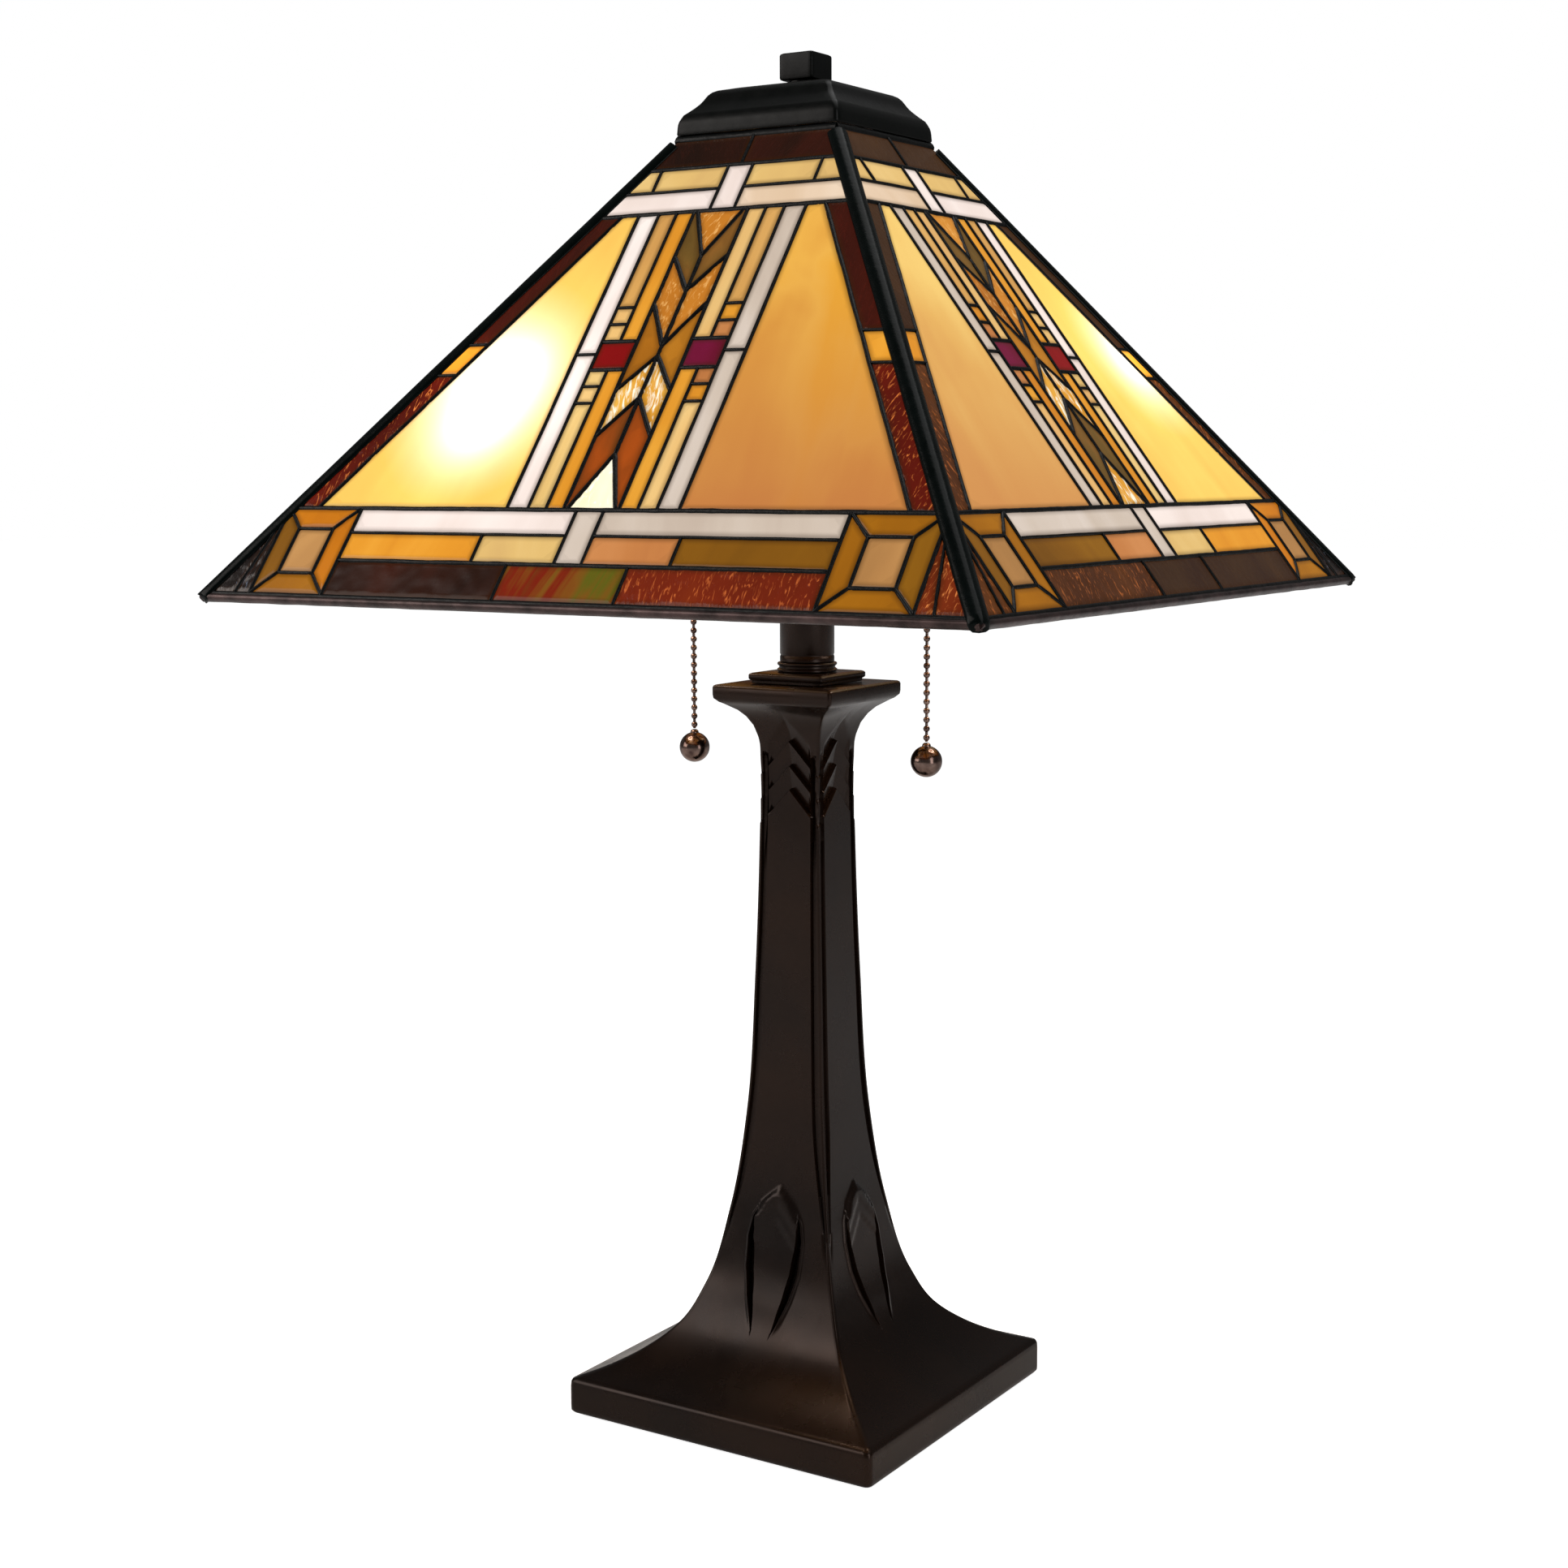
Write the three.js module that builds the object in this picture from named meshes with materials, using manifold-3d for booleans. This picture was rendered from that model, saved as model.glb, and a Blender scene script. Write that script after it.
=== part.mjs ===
// Square table lamp with a four-sided leaded glass shade, a hollow cast column and two pull-chain sockets.
// Millimetres, +Z up. The origin is on the surface that the lamp stands on, under the column's axis.
import * as THREE from "three";
import { mergeVertices } from "three/addons/utils/BufferGeometryUtils.js";
import Module from "manifold-3d";

const wasm = await Module();
wasm.setup();

// Foot and column: half widths across the flats, and heights
const FOOT_HALF = 86.8;
const FOOT_UNDERSIDE = 1.5;
const FOOT_EDGE_TOP = 18.8;
const CASTING_WALL = 3;
const CAPITAL_HALF = 33.7;
const CAPITAL_TOP = 363.2;
const FELT_HALF = 81;
const FELT_THICKNESS = 1.4;
const COVER_THICKNESS = 1.2;
const COVER_HOLE = 3;
const WEIGHT_BOTTOM = 8.3;
const WEIGHT_TOP = 21;
const WEIGHT_HALF = 56;
const BUSHING_HEIGHT = 9.5;
const BUSHING_BORE = 2.6;
const STEP_HALF = 21;
const STEP_TOP = 368.6;

// Threaded tube and everything strung on it
const PIPE_RADIUS = 4.8;
const PIPE_BORE = 3.2;
const PIPE_CLEARANCE = 5.3;
const PIPE_BOTTOM = 3.2;
const NUT_ACROSS_FLATS = 15;
const WASHER_RADIUS = 11;
const THREAD_CLEARANCE = 0.2;
const COLLAR_RADIUS = 14.75;
const COLLAR_HEIGHT = 4.4;
const NECK_RADIUS = 13.3;
const NECK_BORE = 6.5;

// Light cluster: one level body with two sockets pointing opposite ways
const CLUSTER_HEIGHT = 449;
const CLUSTER_RADIUS = 21;
const CLUSTER_HALF_DEPTH = 13;
const CLUSTER_TURN = THREE.MathUtils.degToRad(24);
const SOCKET_RADIUS = 16;
const SOCKET_CAP_START = 33;
const SOCKET_SHELL_START = 44;
const SOCKET_MOUTH = 78;
const BULB_RADIUS = 24;
const BULB_CENTRE = 113;
const BULB_WALL = 1;
const BULB_CUP_RADIUS = 12.9;

// Pull chains: where each hangs, measured along and across its socket
const CHAIN_ALONG = 60.6;
const CHAIN_ACROSS = 23;
const BEAD_RADIUS = 1.6;
const BEAD_PITCH = 4.3;
const LINK_RADIUS = 0.7;
const PULL_CENTRE_HEIGHT = 328;
const PULL_RADIUS = 7.6;
const UPPER_BEADS = 3;
const MIDDLE_BEADS = 2;
const LOWER_BEADS = 21;

// Shade: half widths at the rim and at the top edge, on the outer faces
const RIM_HALF = 204;
const RIM_HEIGHT = 410.8;
const TOP_HALF = 46.4;
const TOP_HEIGHT = 619;
const RIM_UNDERSIDE = 408;
const GLASS_OUTSIDE = 1.4;
const GLASS_INSIDE = 5;
const GLASS_END = 6.4;
const HIP_REACH = 4.6;
const HIP_DEPTH = 5.8;
const EDGE_DEPTH = 6;
const TOP_EDGE_BOTTOM = 617;
const TOP_EDGE_TOP = 621.5;
const SPIDER_BOTTOM = 611.3;
const SPIDER_THICKNESS = 2;
const SPIDER_ARM_HALF = 4;

// Cap and finial
const CAP_WALL = 1.6;
const CAP_TOP = 646.8;
const FINIAL_HALF = 9.2;
const FINIAL_BOTTOM = 648.3;
const FINIAL_TOP = 660.8;
const RISER_TOP = 655.5;

const GAP = 0.3;
const SMALL_ROUND = 16;
const ROUND = 24;
const HALF_TURN = Math.PI;

const finish = (colour, roughness, metalness) =>
  new THREE.MeshStandardMaterial({ color: colour, roughness, metalness });
const BRONZE = finish(0x2c1e18, 0.38, 0.7);
const STEEL = finish(0x8c8c88, 0.4, 0.9);
const IRON = finish(0x2b2b2b, 0.8, 0.6);
const BRASS = finish(0xb08d4f, 0.35, 0.9);
const FELT = finish(0x2e3b2a, 1, 0);
const RUBBER = finish(0x151515, 0.7, 0);
const PORCELAIN = finish(0xe8e4da, 0.5, 0);
const CHAIN_BRONZE = finish(0x4a3524, 0.3, 0.9);
const LEAD = finish(0x0a1210, 0.35, 0.6);
const AMBER_GLASS = finish(0xe0b070, 0.2, 0);
const BULB_GLASS = finish(0xfff1d6, 0.3, 0);

const lamp = new THREE.Group();
lamp.name = "stained_glass_table_lamp";

function place(name, geometry, material, parent = lamp) {
  const mesh = new THREE.Mesh(geometry, material);
  mesh.name = name;
  parent.add(mesh);
  return mesh;
}

// A solid of revolution about Z. Its profile of [radius, height] points closes, and runs anticlockwise.
function turned(profile, segments = ROUND) {
  const points = profile.map(([r, z]) => new THREE.Vector2(r, z));
  return new THREE.LatheGeometry(points, segments).rotateX(HALF_TURN / 2);
}

// The same with a square plan: profile points are [half width, height].
function squareTurned(profile) {
  const points = profile.map(([half, z]) => new THREE.Vector2(half * Math.SQRT2, z));
  return new THREE.LatheGeometry(points, 4, HALF_TURN / 4).rotateX(HALF_TURN / 2);
}

function ring(inner, outer, bottom, top, segments = ROUND) {
  return turned([[inner, bottom], [outer, bottom], [outer, top], [inner, top], [inner, bottom]], segments);
}

function squareRing(inner, outer, bottom, top) {
  return squareTurned([[inner, bottom], [outer, bottom], [outer, top], [inner, top], [inner, bottom]]);
}

// A hexagon nut: both sizes are across the flats, the inner one as a radius.
function hexNut(bore, acrossFlats, bottom, top) {
  const cornerOverFlat = 2 / Math.sqrt(3);
  return ring(bore * cornerOverFlat, (acrossFlats / 2) * cornerOverFlat, bottom, top, 6);
}

// Points on a circle about [0, centre]: the angle is measured from the upward axis, in degrees.
function arcAbout(centre, radius, from, to, count) {
  const points = [];
  for (let i = 0; i < count; i++) {
    const angle = THREE.MathUtils.degToRad(from + ((to - from) * i) / (count - 1));
    points.push([Math.max(0, radius * Math.sin(angle)), centre + radius * Math.cos(angle)]);
  }
  return points.map(([r, z]) => [r < 1e-6 ? 0 : r, z]);
}

// Points along a smooth curve through [half width, height] pairs.
function smooth(pairs, divisions) {
  const curve = new THREE.SplineCurve(pairs.map(([x, y]) => new THREE.Vector2(x, y)));
  return curve.getPoints(divisions).map((p) => [p.x, p.y]);
}

function toSolid(geometry) {
  const bare = geometry.clone();
  bare.deleteAttribute("normal");
  bare.deleteAttribute("uv");
  const merged = mergeVertices(bare, 1e-4);
  return new wasm.Manifold(
    new wasm.Mesh({
      numProp: 3,
      vertProperties: merged.attributes.position.array,
      triVerts: new Uint32Array(merged.index.array),
    }),
  );
}

function toGeometry(solid) {
  const mesh = solid.getMesh();
  const geometry = new THREE.BufferGeometry();
  geometry.setAttribute("position", new THREE.BufferAttribute(mesh.vertProperties, 3));
  geometry.setIndex(new THREE.BufferAttribute(mesh.triVerts, 1));
  return geometry;
}

// A convex bar between two level outlines with the same number of [x, y] corners, anticlockwise from above.
function levelLoft(lower, lowZ, upper, highZ) {
  const n = lower.length;
  const positions = [];
  for (const [x, y] of lower) positions.push(x, y, lowZ);
  for (const [x, y] of upper) positions.push(x, y, highZ);
  const index = [];
  for (let i = 1; i < n - 1; i++) {
    index.push(0, i + 1, i);
    index.push(n, n + i, n + i + 1);
  }
  for (let i = 0; i < n; i++) {
    const j = (i + 1) % n;
    index.push(i, j, n + j);
    index.push(i, n + j, n + i);
  }
  const geometry = new THREE.BufferGeometry();
  geometry.setAttribute("position", new THREE.Float32BufferAttribute(positions, 3));
  geometry.setIndex(index);
  return geometry;
}

// ---- Base ----

function columnProfile() {
  return smooth(
    [
      [FOOT_HALF - 1, FOOT_EDGE_TOP + 0.8],
      [74.8, 23],
      [59.3, 32.5],
      [46.2, 45.3],
      [37.6, 63.3],
      [28.7, 101],
      [22.3, 152],
      [19.2, 218],
      [17.4, 283],
      [16.9, 325],
    ],
    18,
  );
}

function capitalProfile() {
  return smooth(
    [
      [17.3, 335.5],
      [20.3, 345],
      [25.2, 351],
      [32, 355],
    ],
    5,
  );
}

function makeBaseCasting() {
  const column = columnProfile();
  const edge = FOOT_HALF - CASTING_WALL;
  const outside = [
    [edge, FOOT_UNDERSIDE],
    [FOOT_HALF - 1.5, FOOT_UNDERSIDE],
    [FOOT_HALF, FOOT_UNDERSIDE + 1.5],
    [FOOT_HALF, FOOT_EDGE_TOP - 0.8],
    ...column,
    ...capitalProfile(),
    [CAPITAL_HALF - 0.4, 357],
    [CAPITAL_HALF, 358.4],
    [CAPITAL_HALF, CAPITAL_TOP - 1],
    [CAPITAL_HALF - 1, CAPITAL_TOP],
    [PIPE_CLEARANCE, CAPITAL_TOP],
    [PIPE_CLEARANCE, CAPITAL_TOP - 10],
  ];
  const hollow = column
    .filter((point, i) => i % 2 === 1)
    .reverse()
    .map(([half, z]) => [half - CASTING_WALL, z - CASTING_WALL]);
  return squareTurned([...outside, ...hollow, [edge, FOOT_EDGE_TOP - 6], [edge, FOOT_UNDERSIDE]]);
}

function makeBase() {
  const looseOnPipe = PIPE_RADIUS + THREAD_CLEARANCE;
  place("felt_pad", squareRing(COVER_HOLE, FELT_HALF, 0, FELT_THICKNESS), FELT);
  const coverBottom = FELT_THICKNESS + GAP;
  const coverTop = coverBottom + COVER_THICKNESS;
  place("foot_cover", squareRing(COVER_HOLE, FELT_HALF, coverBottom, coverTop), STEEL);
  const washerTop = WEIGHT_BOTTOM - GAP;
  const washerBottom = washerTop - 1.2;
  place("pipe_washer", ring(looseOnPipe, WASHER_RADIUS, washerBottom, washerTop), STEEL);
  const nutTop = washerBottom - GAP;
  place("pipe_nut", hexNut(looseOnPipe, NUT_ACROSS_FLATS, coverTop + 2 * GAP, nutTop), STEEL);
  const weightOutline = [
    [PIPE_CLEARANCE, WEIGHT_BOTTOM],
    [WEIGHT_HALF, WEIGHT_BOTTOM],
    [WEIGHT_HALF, WEIGHT_BOTTOM + 6],
    [WEIGHT_HALF - 10, WEIGHT_TOP],
    [PIPE_CLEARANCE, WEIGHT_TOP],
    [PIPE_CLEARANCE, WEIGHT_BOTTOM],
  ];
  place("base_weight", squareTurned(weightOutline), IRON);
  place("lamp_pipe", ring(PIPE_BORE, PIPE_RADIUS, PIPE_BOTTOM, CLUSTER_HEIGHT - 6, SMALL_ROUND), STEEL);

  // A bushing with an outside flange sits in a hole through the back edge of the foot
  const hole = new THREE.CylinderGeometry(BUSHING_BORE + 2, BUSHING_BORE + 2, 20, ROUND);
  hole.translate(0, FOOT_HALF, BUSHING_HEIGHT);
  const casting = toSolid(makeBaseCasting()).subtract(toSolid(hole));
  place("base_casting", toGeometry(casting), BRONZE);
  const bushingOutline = [
    [BUSHING_BORE, -6],
    [BUSHING_BORE + 1.7, -6],
    [BUSHING_BORE + 1.7, GAP],
    [BUSHING_BORE + 3.8, GAP],
    [BUSHING_BORE + 3.8, 1.5],
    [BUSHING_BORE + 3, 2.3],
    [BUSHING_BORE, 2.3],
    [BUSHING_BORE, -6],
  ];
  const bushing = place("cord_bushing", turned(bushingOutline), RUBBER);
  bushing.position.set(0, FOOT_HALF, BUSHING_HEIGHT);
  bushing.rotation.x = -HALF_TURN / 2;

  const stepBottom = CAPITAL_TOP + GAP;
  place("step_plate", squareRing(PIPE_CLEARANCE, STEP_HALF, stepBottom, STEP_TOP), BRONZE);
  const collarBottom = STEP_TOP + GAP;
  const collarTop = collarBottom + COLLAR_HEIGHT;
  const collarOutline = [
    [PIPE_CLEARANCE, collarBottom],
    [COLLAR_RADIUS - 0.6, collarBottom],
    [COLLAR_RADIUS, collarBottom + COLLAR_HEIGHT / 2],
    [COLLAR_RADIUS - 0.6, collarTop],
    [PIPE_CLEARANCE, collarTop],
    [PIPE_CLEARANCE, collarBottom],
  ];
  place("neck_collar", turned(collarOutline), BRONZE);
  const neckTop = CLUSTER_HEIGHT - CLUSTER_HALF_DEPTH - GAP;
  place("neck_tube", ring(NECK_BORE, NECK_RADIUS, collarTop + GAP, neckTop), BRONZE);
}

// ---- Light cluster, sockets, bulbs and pull chains ----

function makeCluster() {
  const bottom = CLUSTER_HEIGHT - CLUSTER_HALF_DEPTH;
  const bodyTop = CLUSTER_HEIGHT + CLUSTER_HALF_DEPTH;
  const bodyOutline = [
    [PIPE_RADIUS + THREAD_CLEARANCE, bottom],
    [CLUSTER_RADIUS - 3, bottom],
    [CLUSTER_RADIUS, bottom + 3],
    [CLUSTER_RADIUS, bodyTop],
    [CLUSTER_RADIUS - 2.5, bodyTop],
    [CLUSTER_RADIUS - 2.5, bottom + 4],
    [PIPE_RADIUS + THREAD_CLEARANCE, bottom + 4],
    [PIPE_RADIUS + THREAD_CLEARANCE, bottom],
  ];
  place("cluster_body", turned(bodyOutline), BRASS);
  const coverBottom = bodyTop + GAP;
  const coverOutline = [
    [PIPE_RADIUS + THREAD_CLEARANCE, coverBottom],
    [CLUSTER_RADIUS, coverBottom],
    [CLUSTER_RADIUS - 4, coverBottom + 4],
    [PIPE_RADIUS + THREAD_CLEARANCE, coverBottom + 6],
    [PIPE_RADIUS + THREAD_CLEARANCE, coverBottom],
  ];
  place("cluster_cover", turned(coverOutline), BRASS);
}

// A bead chain hanging down from the local origin, one bead every pitch, joined by thin links.
function beadChain(beads) {
  const profile = [[0, 0]];
  for (let i = 0; i < beads; i++) {
    const top = -i * BEAD_PITCH;
    profile.push([LINK_RADIUS, top]);
    profile.push([BEAD_RADIUS, top - 1]);
    profile.push([BEAD_RADIUS, top - 2.2]);
    profile.push([LINK_RADIUS, top - 3.2]);
  }
  const end = -beads * BEAD_PITCH + GAP;
  profile.push([LINK_RADIUS, end]);
  profile.push([0, end]);
  return turned(profile.reverse(), 6);
}

function makeSocket(side, turn) {
  const socket = new THREE.Group();
  socket.position.z = CLUSTER_HEIGHT;
  socket.rotation.z = turn;
  lamp.add(socket);
  // Pieces turned about the socket's own axis, which leaves the cluster along local +X
  const alongX = (name, geometry, material) =>
    place(`${name}_${side}`, geometry.rotateY(HALF_TURN / 2), material, socket);

  const armEnd = SOCKET_CAP_START - GAP;
  alongX("socket_arm", ring(2.4, PIPE_RADIUS, CLUSTER_RADIUS + GAP, armEnd, SMALL_ROUND), BRASS);
  const capEnd = SOCKET_SHELL_START - GAP;
  const capOutline = [
    [0, SOCKET_CAP_START],
    [7, SOCKET_CAP_START],
    [13, SOCKET_CAP_START + 3],
    [SOCKET_RADIUS, SOCKET_CAP_START + 8],
    [SOCKET_RADIUS, capEnd],
    [SOCKET_RADIUS - 1.5, capEnd],
    [SOCKET_RADIUS - 3, SOCKET_CAP_START + 6],
    [0, SOCKET_CAP_START + 4],
  ];
  alongX("socket_cap", turned(capOutline), BRASS);
  const shell = ring(14.6, SOCKET_RADIUS, SOCKET_SHELL_START, SOCKET_MOUTH);
  alongX("socket_shell", shell, BRASS);
  alongX("socket_core", turned([[0, 45], [13, 45], [13, 53], [0, 53]]), PORCELAIN);
  // The bulb: a brass cup and a glass envelope, both open where they meet
  const cupEnd = SOCKET_MOUTH - 1;
  const cupStart = SOCKET_MOUTH - 24;
  const cupOutline = [
    [0, cupStart],
    [5, cupStart],
    [9, cupStart + 3.5],
    [BULB_CUP_RADIUS, cupStart + 4],
    [BULB_CUP_RADIUS, cupEnd],
    [BULB_CUP_RADIUS - BULB_WALL, cupEnd],
    [BULB_CUP_RADIUS - BULB_WALL, cupStart + 5],
    [0, cupStart + 5],
  ];
  alongX("bulb_base", turned(cupOutline), BRASS);
  const neckStart = cupEnd + GAP;
  const globe = arcAbout(BULB_CENTRE, BULB_RADIUS, 135, 0, 9);
  const glassOutside = [[12, neckStart], [13.4, neckStart + 5], ...globe];
  const glassInside = arcAbout(BULB_CENTRE, BULB_RADIUS - BULB_WALL, 0, 135, 9);
  const neckInside = [[13.4 - BULB_WALL, neckStart + 5], [12 - BULB_WALL, neckStart], [12, neckStart]];
  alongX("bulb_glass", turned([...glassOutside, ...glassInside, ...neckInside]), BULB_GLASS);

  // Bell mouth: a short level horn on the shell's side, open at its outer end, that the chain drops from
  const bell = new THREE.Group();
  bell.position.set(CHAIN_ALONG, -SOCKET_RADIUS - GAP, 0);
  socket.add(bell);
  const mouth = CHAIN_ACROSS - SOCKET_RADIUS - GAP;
  const bellOutline = [
    [2.6, 0],
    [5, 0],
    [4, 2.5],
    [4.2, mouth - 2.5],
    [3.6, mouth - 2.2],
    [2.6, mouth - 2.2],
    [2.6, 0],
  ];
  place(`switch_bell_${side}`, turned(bellOutline, SMALL_ROUND).rotateX(HALF_TURN / 2), BRASS, bell);

  const chain = new THREE.Group();
  chain.position.set(CHAIN_ALONG, -CHAIN_ACROSS, 0);
  socket.add(chain);
  place(`chain_upper_${side}`, beadChain(UPPER_BEADS), CHAIN_BRONZE, chain);
  const middle = place(`chain_middle_${side}`, beadChain(MIDDLE_BEADS), CHAIN_BRONZE, chain);
  middle.position.z = -UPPER_BEADS * BEAD_PITCH;
  const lower = place(`chain_lower_${side}`, beadChain(LOWER_BEADS), CHAIN_BRONZE, chain);
  lower.position.z = -(UPPER_BEADS + MIDDLE_BEADS) * BEAD_PITCH;
  const pullTop = lower.position.z - LOWER_BEADS * BEAD_PITCH;
  const pullCentre = PULL_CENTRE_HEIGHT - CLUSTER_HEIGHT;
  const pullOutline = [
    ...arcAbout(pullCentre, PULL_RADIUS, 180, 20, 9),
    [LINK_RADIUS + 1.2, pullTop],
    [0, pullTop],
  ];
  place(`ball_pull_${side}`, turned(pullOutline, SMALL_ROUND), CHAIN_BRONZE, chain);
}

// ---- Shade ----

const halfAt = (z) =>
  THREE.MathUtils.mapLinear(z, RIM_HEIGHT, TOP_HEIGHT, RIM_HALF, TOP_HALF);

// A mitred bar along one side of a square frame, between two half widths. The side faces -Y.
function sideOutline(outer, inner, endGap) {
  return [
    [-(outer - endGap), -outer],
    [outer - endGap, -outer],
    [inner - endGap, -inner],
    [-(inner - endGap), -inner],
  ];
}

function glassOutline(z) {
  const half = halfAt(z);
  const end = half - GLASS_END;
  return [
    [-end, -(half - GLASS_OUTSIDE)],
    [end, -(half - GLASS_OUTSIDE)],
    [end, -(half - GLASS_INSIDE)],
    [-end, -(half - GLASS_INSIDE)],
  ];
}

// A kite round the corner between two sides
function hipOutline(z) {
  const half = halfAt(z);
  return [
    [half - HIP_REACH, -half],
    [half, -half],
    [half, -(half - HIP_REACH)],
    [half - HIP_DEPTH, -(half - HIP_DEPTH)],
  ];
}

// Four arms to the corners of the shade, round a hub with a hole for the riser
function spiderShape(reach) {
  const hub = WASHER_RADIUS;
  const offset = Math.asin(SPIDER_ARM_HALF / hub);
  const shape = new THREE.Shape();
  for (let i = 0; i < 4; i++) {
    const angle = (i + 0.5) * (HALF_TURN / 2);
    const along = [Math.cos(angle), Math.sin(angle)];
    const tip = (sideways) => [
      along[0] * reach - along[1] * sideways,
      along[1] * reach + along[0] * sideways,
    ];
    if (i === 0) shape.moveTo(...tip(-SPIDER_ARM_HALF));
    else shape.lineTo(...tip(-SPIDER_ARM_HALF));
    shape.lineTo(...tip(SPIDER_ARM_HALF));
    shape.absarc(0, 0, hub, angle + offset, angle + HALF_TURN / 2 - offset);
  }
  const hole = new THREE.Path();
  hole.absarc(0, 0, PIPE_CLEARANCE + 0.1, 0, 2 * HALF_TURN, true);
  shape.holes.push(hole);
  return shape;
}

function makeShade() {
  const mitre = GAP * 0.8;
  const rimTop = RIM_HEIGHT + GAP;
  const glassBottom = rimTop + GAP;
  const glassTop = TOP_EDGE_BOTTOM - GAP;
  const rim = sideOutline(RIM_HALF, RIM_HALF - EDGE_DEPTH, mitre);
  const top = sideOutline(TOP_HALF, TOP_HALF - EDGE_DEPTH, mitre);
  ["front", "right", "back", "left"].forEach((side, i) => {
    const face = new THREE.Group();
    face.rotation.z = (i * HALF_TURN) / 2;
    lamp.add(face);
    const glass = levelLoft(glassOutline(glassBottom), glassBottom, glassOutline(glassTop), glassTop);
    place(`glass_panel_${side}`, glass, AMBER_GLASS, face);
    const hip = levelLoft(hipOutline(glassBottom), glassBottom, hipOutline(glassTop), glassTop);
    place(`hip_came_${side}`, hip, LEAD, face);
    place(`rim_came_${side}`, levelLoft(rim, RIM_UNDERSIDE, rim, rimTop), LEAD, face);
    place(`top_came_${side}`, levelLoft(top, TOP_EDGE_BOTTOM, top, TOP_EDGE_TOP), LEAD, face);
  });
  const spiderTop = SPIDER_BOTTOM + SPIDER_THICKNESS;
  const reach = (halfAt(spiderTop) - HIP_DEPTH) * Math.SQRT2 - SPIDER_ARM_HALF;
  const spiderOptions = { depth: SPIDER_THICKNESS, bevelEnabled: false, curveSegments: 6 };
  const spider = new THREE.ExtrudeGeometry(spiderShape(reach), spiderOptions);
  place("shade_spider", toGeometry(toSolid(spider.translate(0, 0, SPIDER_BOTTOM))), BRASS);
}

function makeCapAndFinial() {
  const riserBottom = CLUSTER_HEIGHT + CLUSTER_HALF_DEPTH - 4;
  place("riser_pipe", ring(PIPE_BORE, PIPE_RADIUS, riserBottom, RISER_TOP, SMALL_ROUND), STEEL);
  const washerTop = SPIDER_BOTTOM - GAP;
  const looseOnPipe = PIPE_RADIUS + THREAD_CLEARANCE;
  place("seat_washer", ring(looseOnPipe, WASHER_RADIUS, washerTop - 1.5, washerTop), BRASS);
  const nutTop = washerTop - 1.5 - GAP;
  place("seat_nut", hexNut(looseOnPipe, NUT_ACROSS_FLATS, nutTop - 4, nutTop), BRASS);

  const capBottom = TOP_EDGE_TOP + GAP;
  const fascia = [[44.5, capBottom], [43.8, 628]];
  const cove = smooth([[42.2, 631.2], [39.6, 633.5], [36.6, 636.6], [34, 640.6]], 5);
  const crown = [[32.6, 642], [27, 643.7], [9.8, CAP_TOP], [PIPE_CLEARANCE, CAP_TOP]];
  const capOutside = [...fascia, ...cove, ...crown];
  const capInside = [
    [PIPE_CLEARANCE, CAP_TOP - CAP_WALL],
    [9, CAP_TOP - CAP_WALL],
    [30.5, 641],
    [35, 634.8],
    [41, 630],
    [42.6, capBottom],
  ];
  place("cap", squareTurned([...capOutside, ...capInside, fascia[0]]), LEAD);
  place("finial_washer", ring(PIPE_CLEARANCE, 8.6, CAP_TOP + GAP, FINIAL_BOTTOM - GAP), BRASS);
  const finialOutline = [
    [0, RISER_TOP + 2],
    [PIPE_CLEARANCE, RISER_TOP + 2],
    [PIPE_CLEARANCE, FINIAL_BOTTOM],
    [FINIAL_HALF, FINIAL_BOTTOM],
    [FINIAL_HALF, FINIAL_TOP - 1],
    [FINIAL_HALF - 1, FINIAL_TOP],
    [0, FINIAL_TOP],
  ];
  place("finial", squareTurned(finialOutline), LEAD);
}

makeBase();
makeCluster();
makeSocket("right", CLUSTER_TURN);
makeSocket("left", CLUSTER_TURN + HALF_TURN);
makeShade();
makeCapAndFinial();

export default lamp;
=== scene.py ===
import bpy
import bmesh
import math
import random
from mathutils import Matrix, Vector, noise


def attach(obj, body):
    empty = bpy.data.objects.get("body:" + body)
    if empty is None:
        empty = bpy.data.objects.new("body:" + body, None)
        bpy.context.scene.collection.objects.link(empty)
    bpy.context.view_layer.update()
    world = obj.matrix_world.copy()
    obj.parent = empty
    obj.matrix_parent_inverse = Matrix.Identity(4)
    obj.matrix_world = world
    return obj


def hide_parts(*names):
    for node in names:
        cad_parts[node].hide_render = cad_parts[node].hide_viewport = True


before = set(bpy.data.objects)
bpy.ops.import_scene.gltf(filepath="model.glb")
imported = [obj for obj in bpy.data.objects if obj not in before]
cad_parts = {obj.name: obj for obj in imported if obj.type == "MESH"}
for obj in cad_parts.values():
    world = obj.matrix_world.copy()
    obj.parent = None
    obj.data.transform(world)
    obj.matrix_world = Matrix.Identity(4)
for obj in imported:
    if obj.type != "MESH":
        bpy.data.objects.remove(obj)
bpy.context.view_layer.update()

# Stained glass table lamp: everything is in metres, in the frame of the CAD model.
MM = 0.001

# ---- Sizes that several pieces share, in millimetres ----
RIM_HALF = 204.0          # shade, outer faces: half width at the rim and at the top edge
RIM_HEIGHT = 410.8
TOP_HALF = 46.4
TOP_HEIGHT = 619.0
SLOPE = math.hypot(RIM_HALF - TOP_HALF, TOP_HEIGHT - RIM_HEIGHT)
LEAN = (RIM_HALF - TOP_HALF) / SLOPE      # how far a face moves inwards per unit of slope
RISE = (TOP_HEIGHT - RIM_HEIGHT) / SLOPE
GLASS_OUTSIDE = 1.1       # depth of the glass pieces below the outer face, along its normal
GLASS_THICKNESS = 2.9
SEAM_HALF = 0.95          # half width of an ordinary solder seam
HIP_HALF = 4.4            # half width of the cames on the hips, across each face
CLUSTER_HEIGHT = 449.0
CLUSTER_TURN = math.radians(24)
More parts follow.
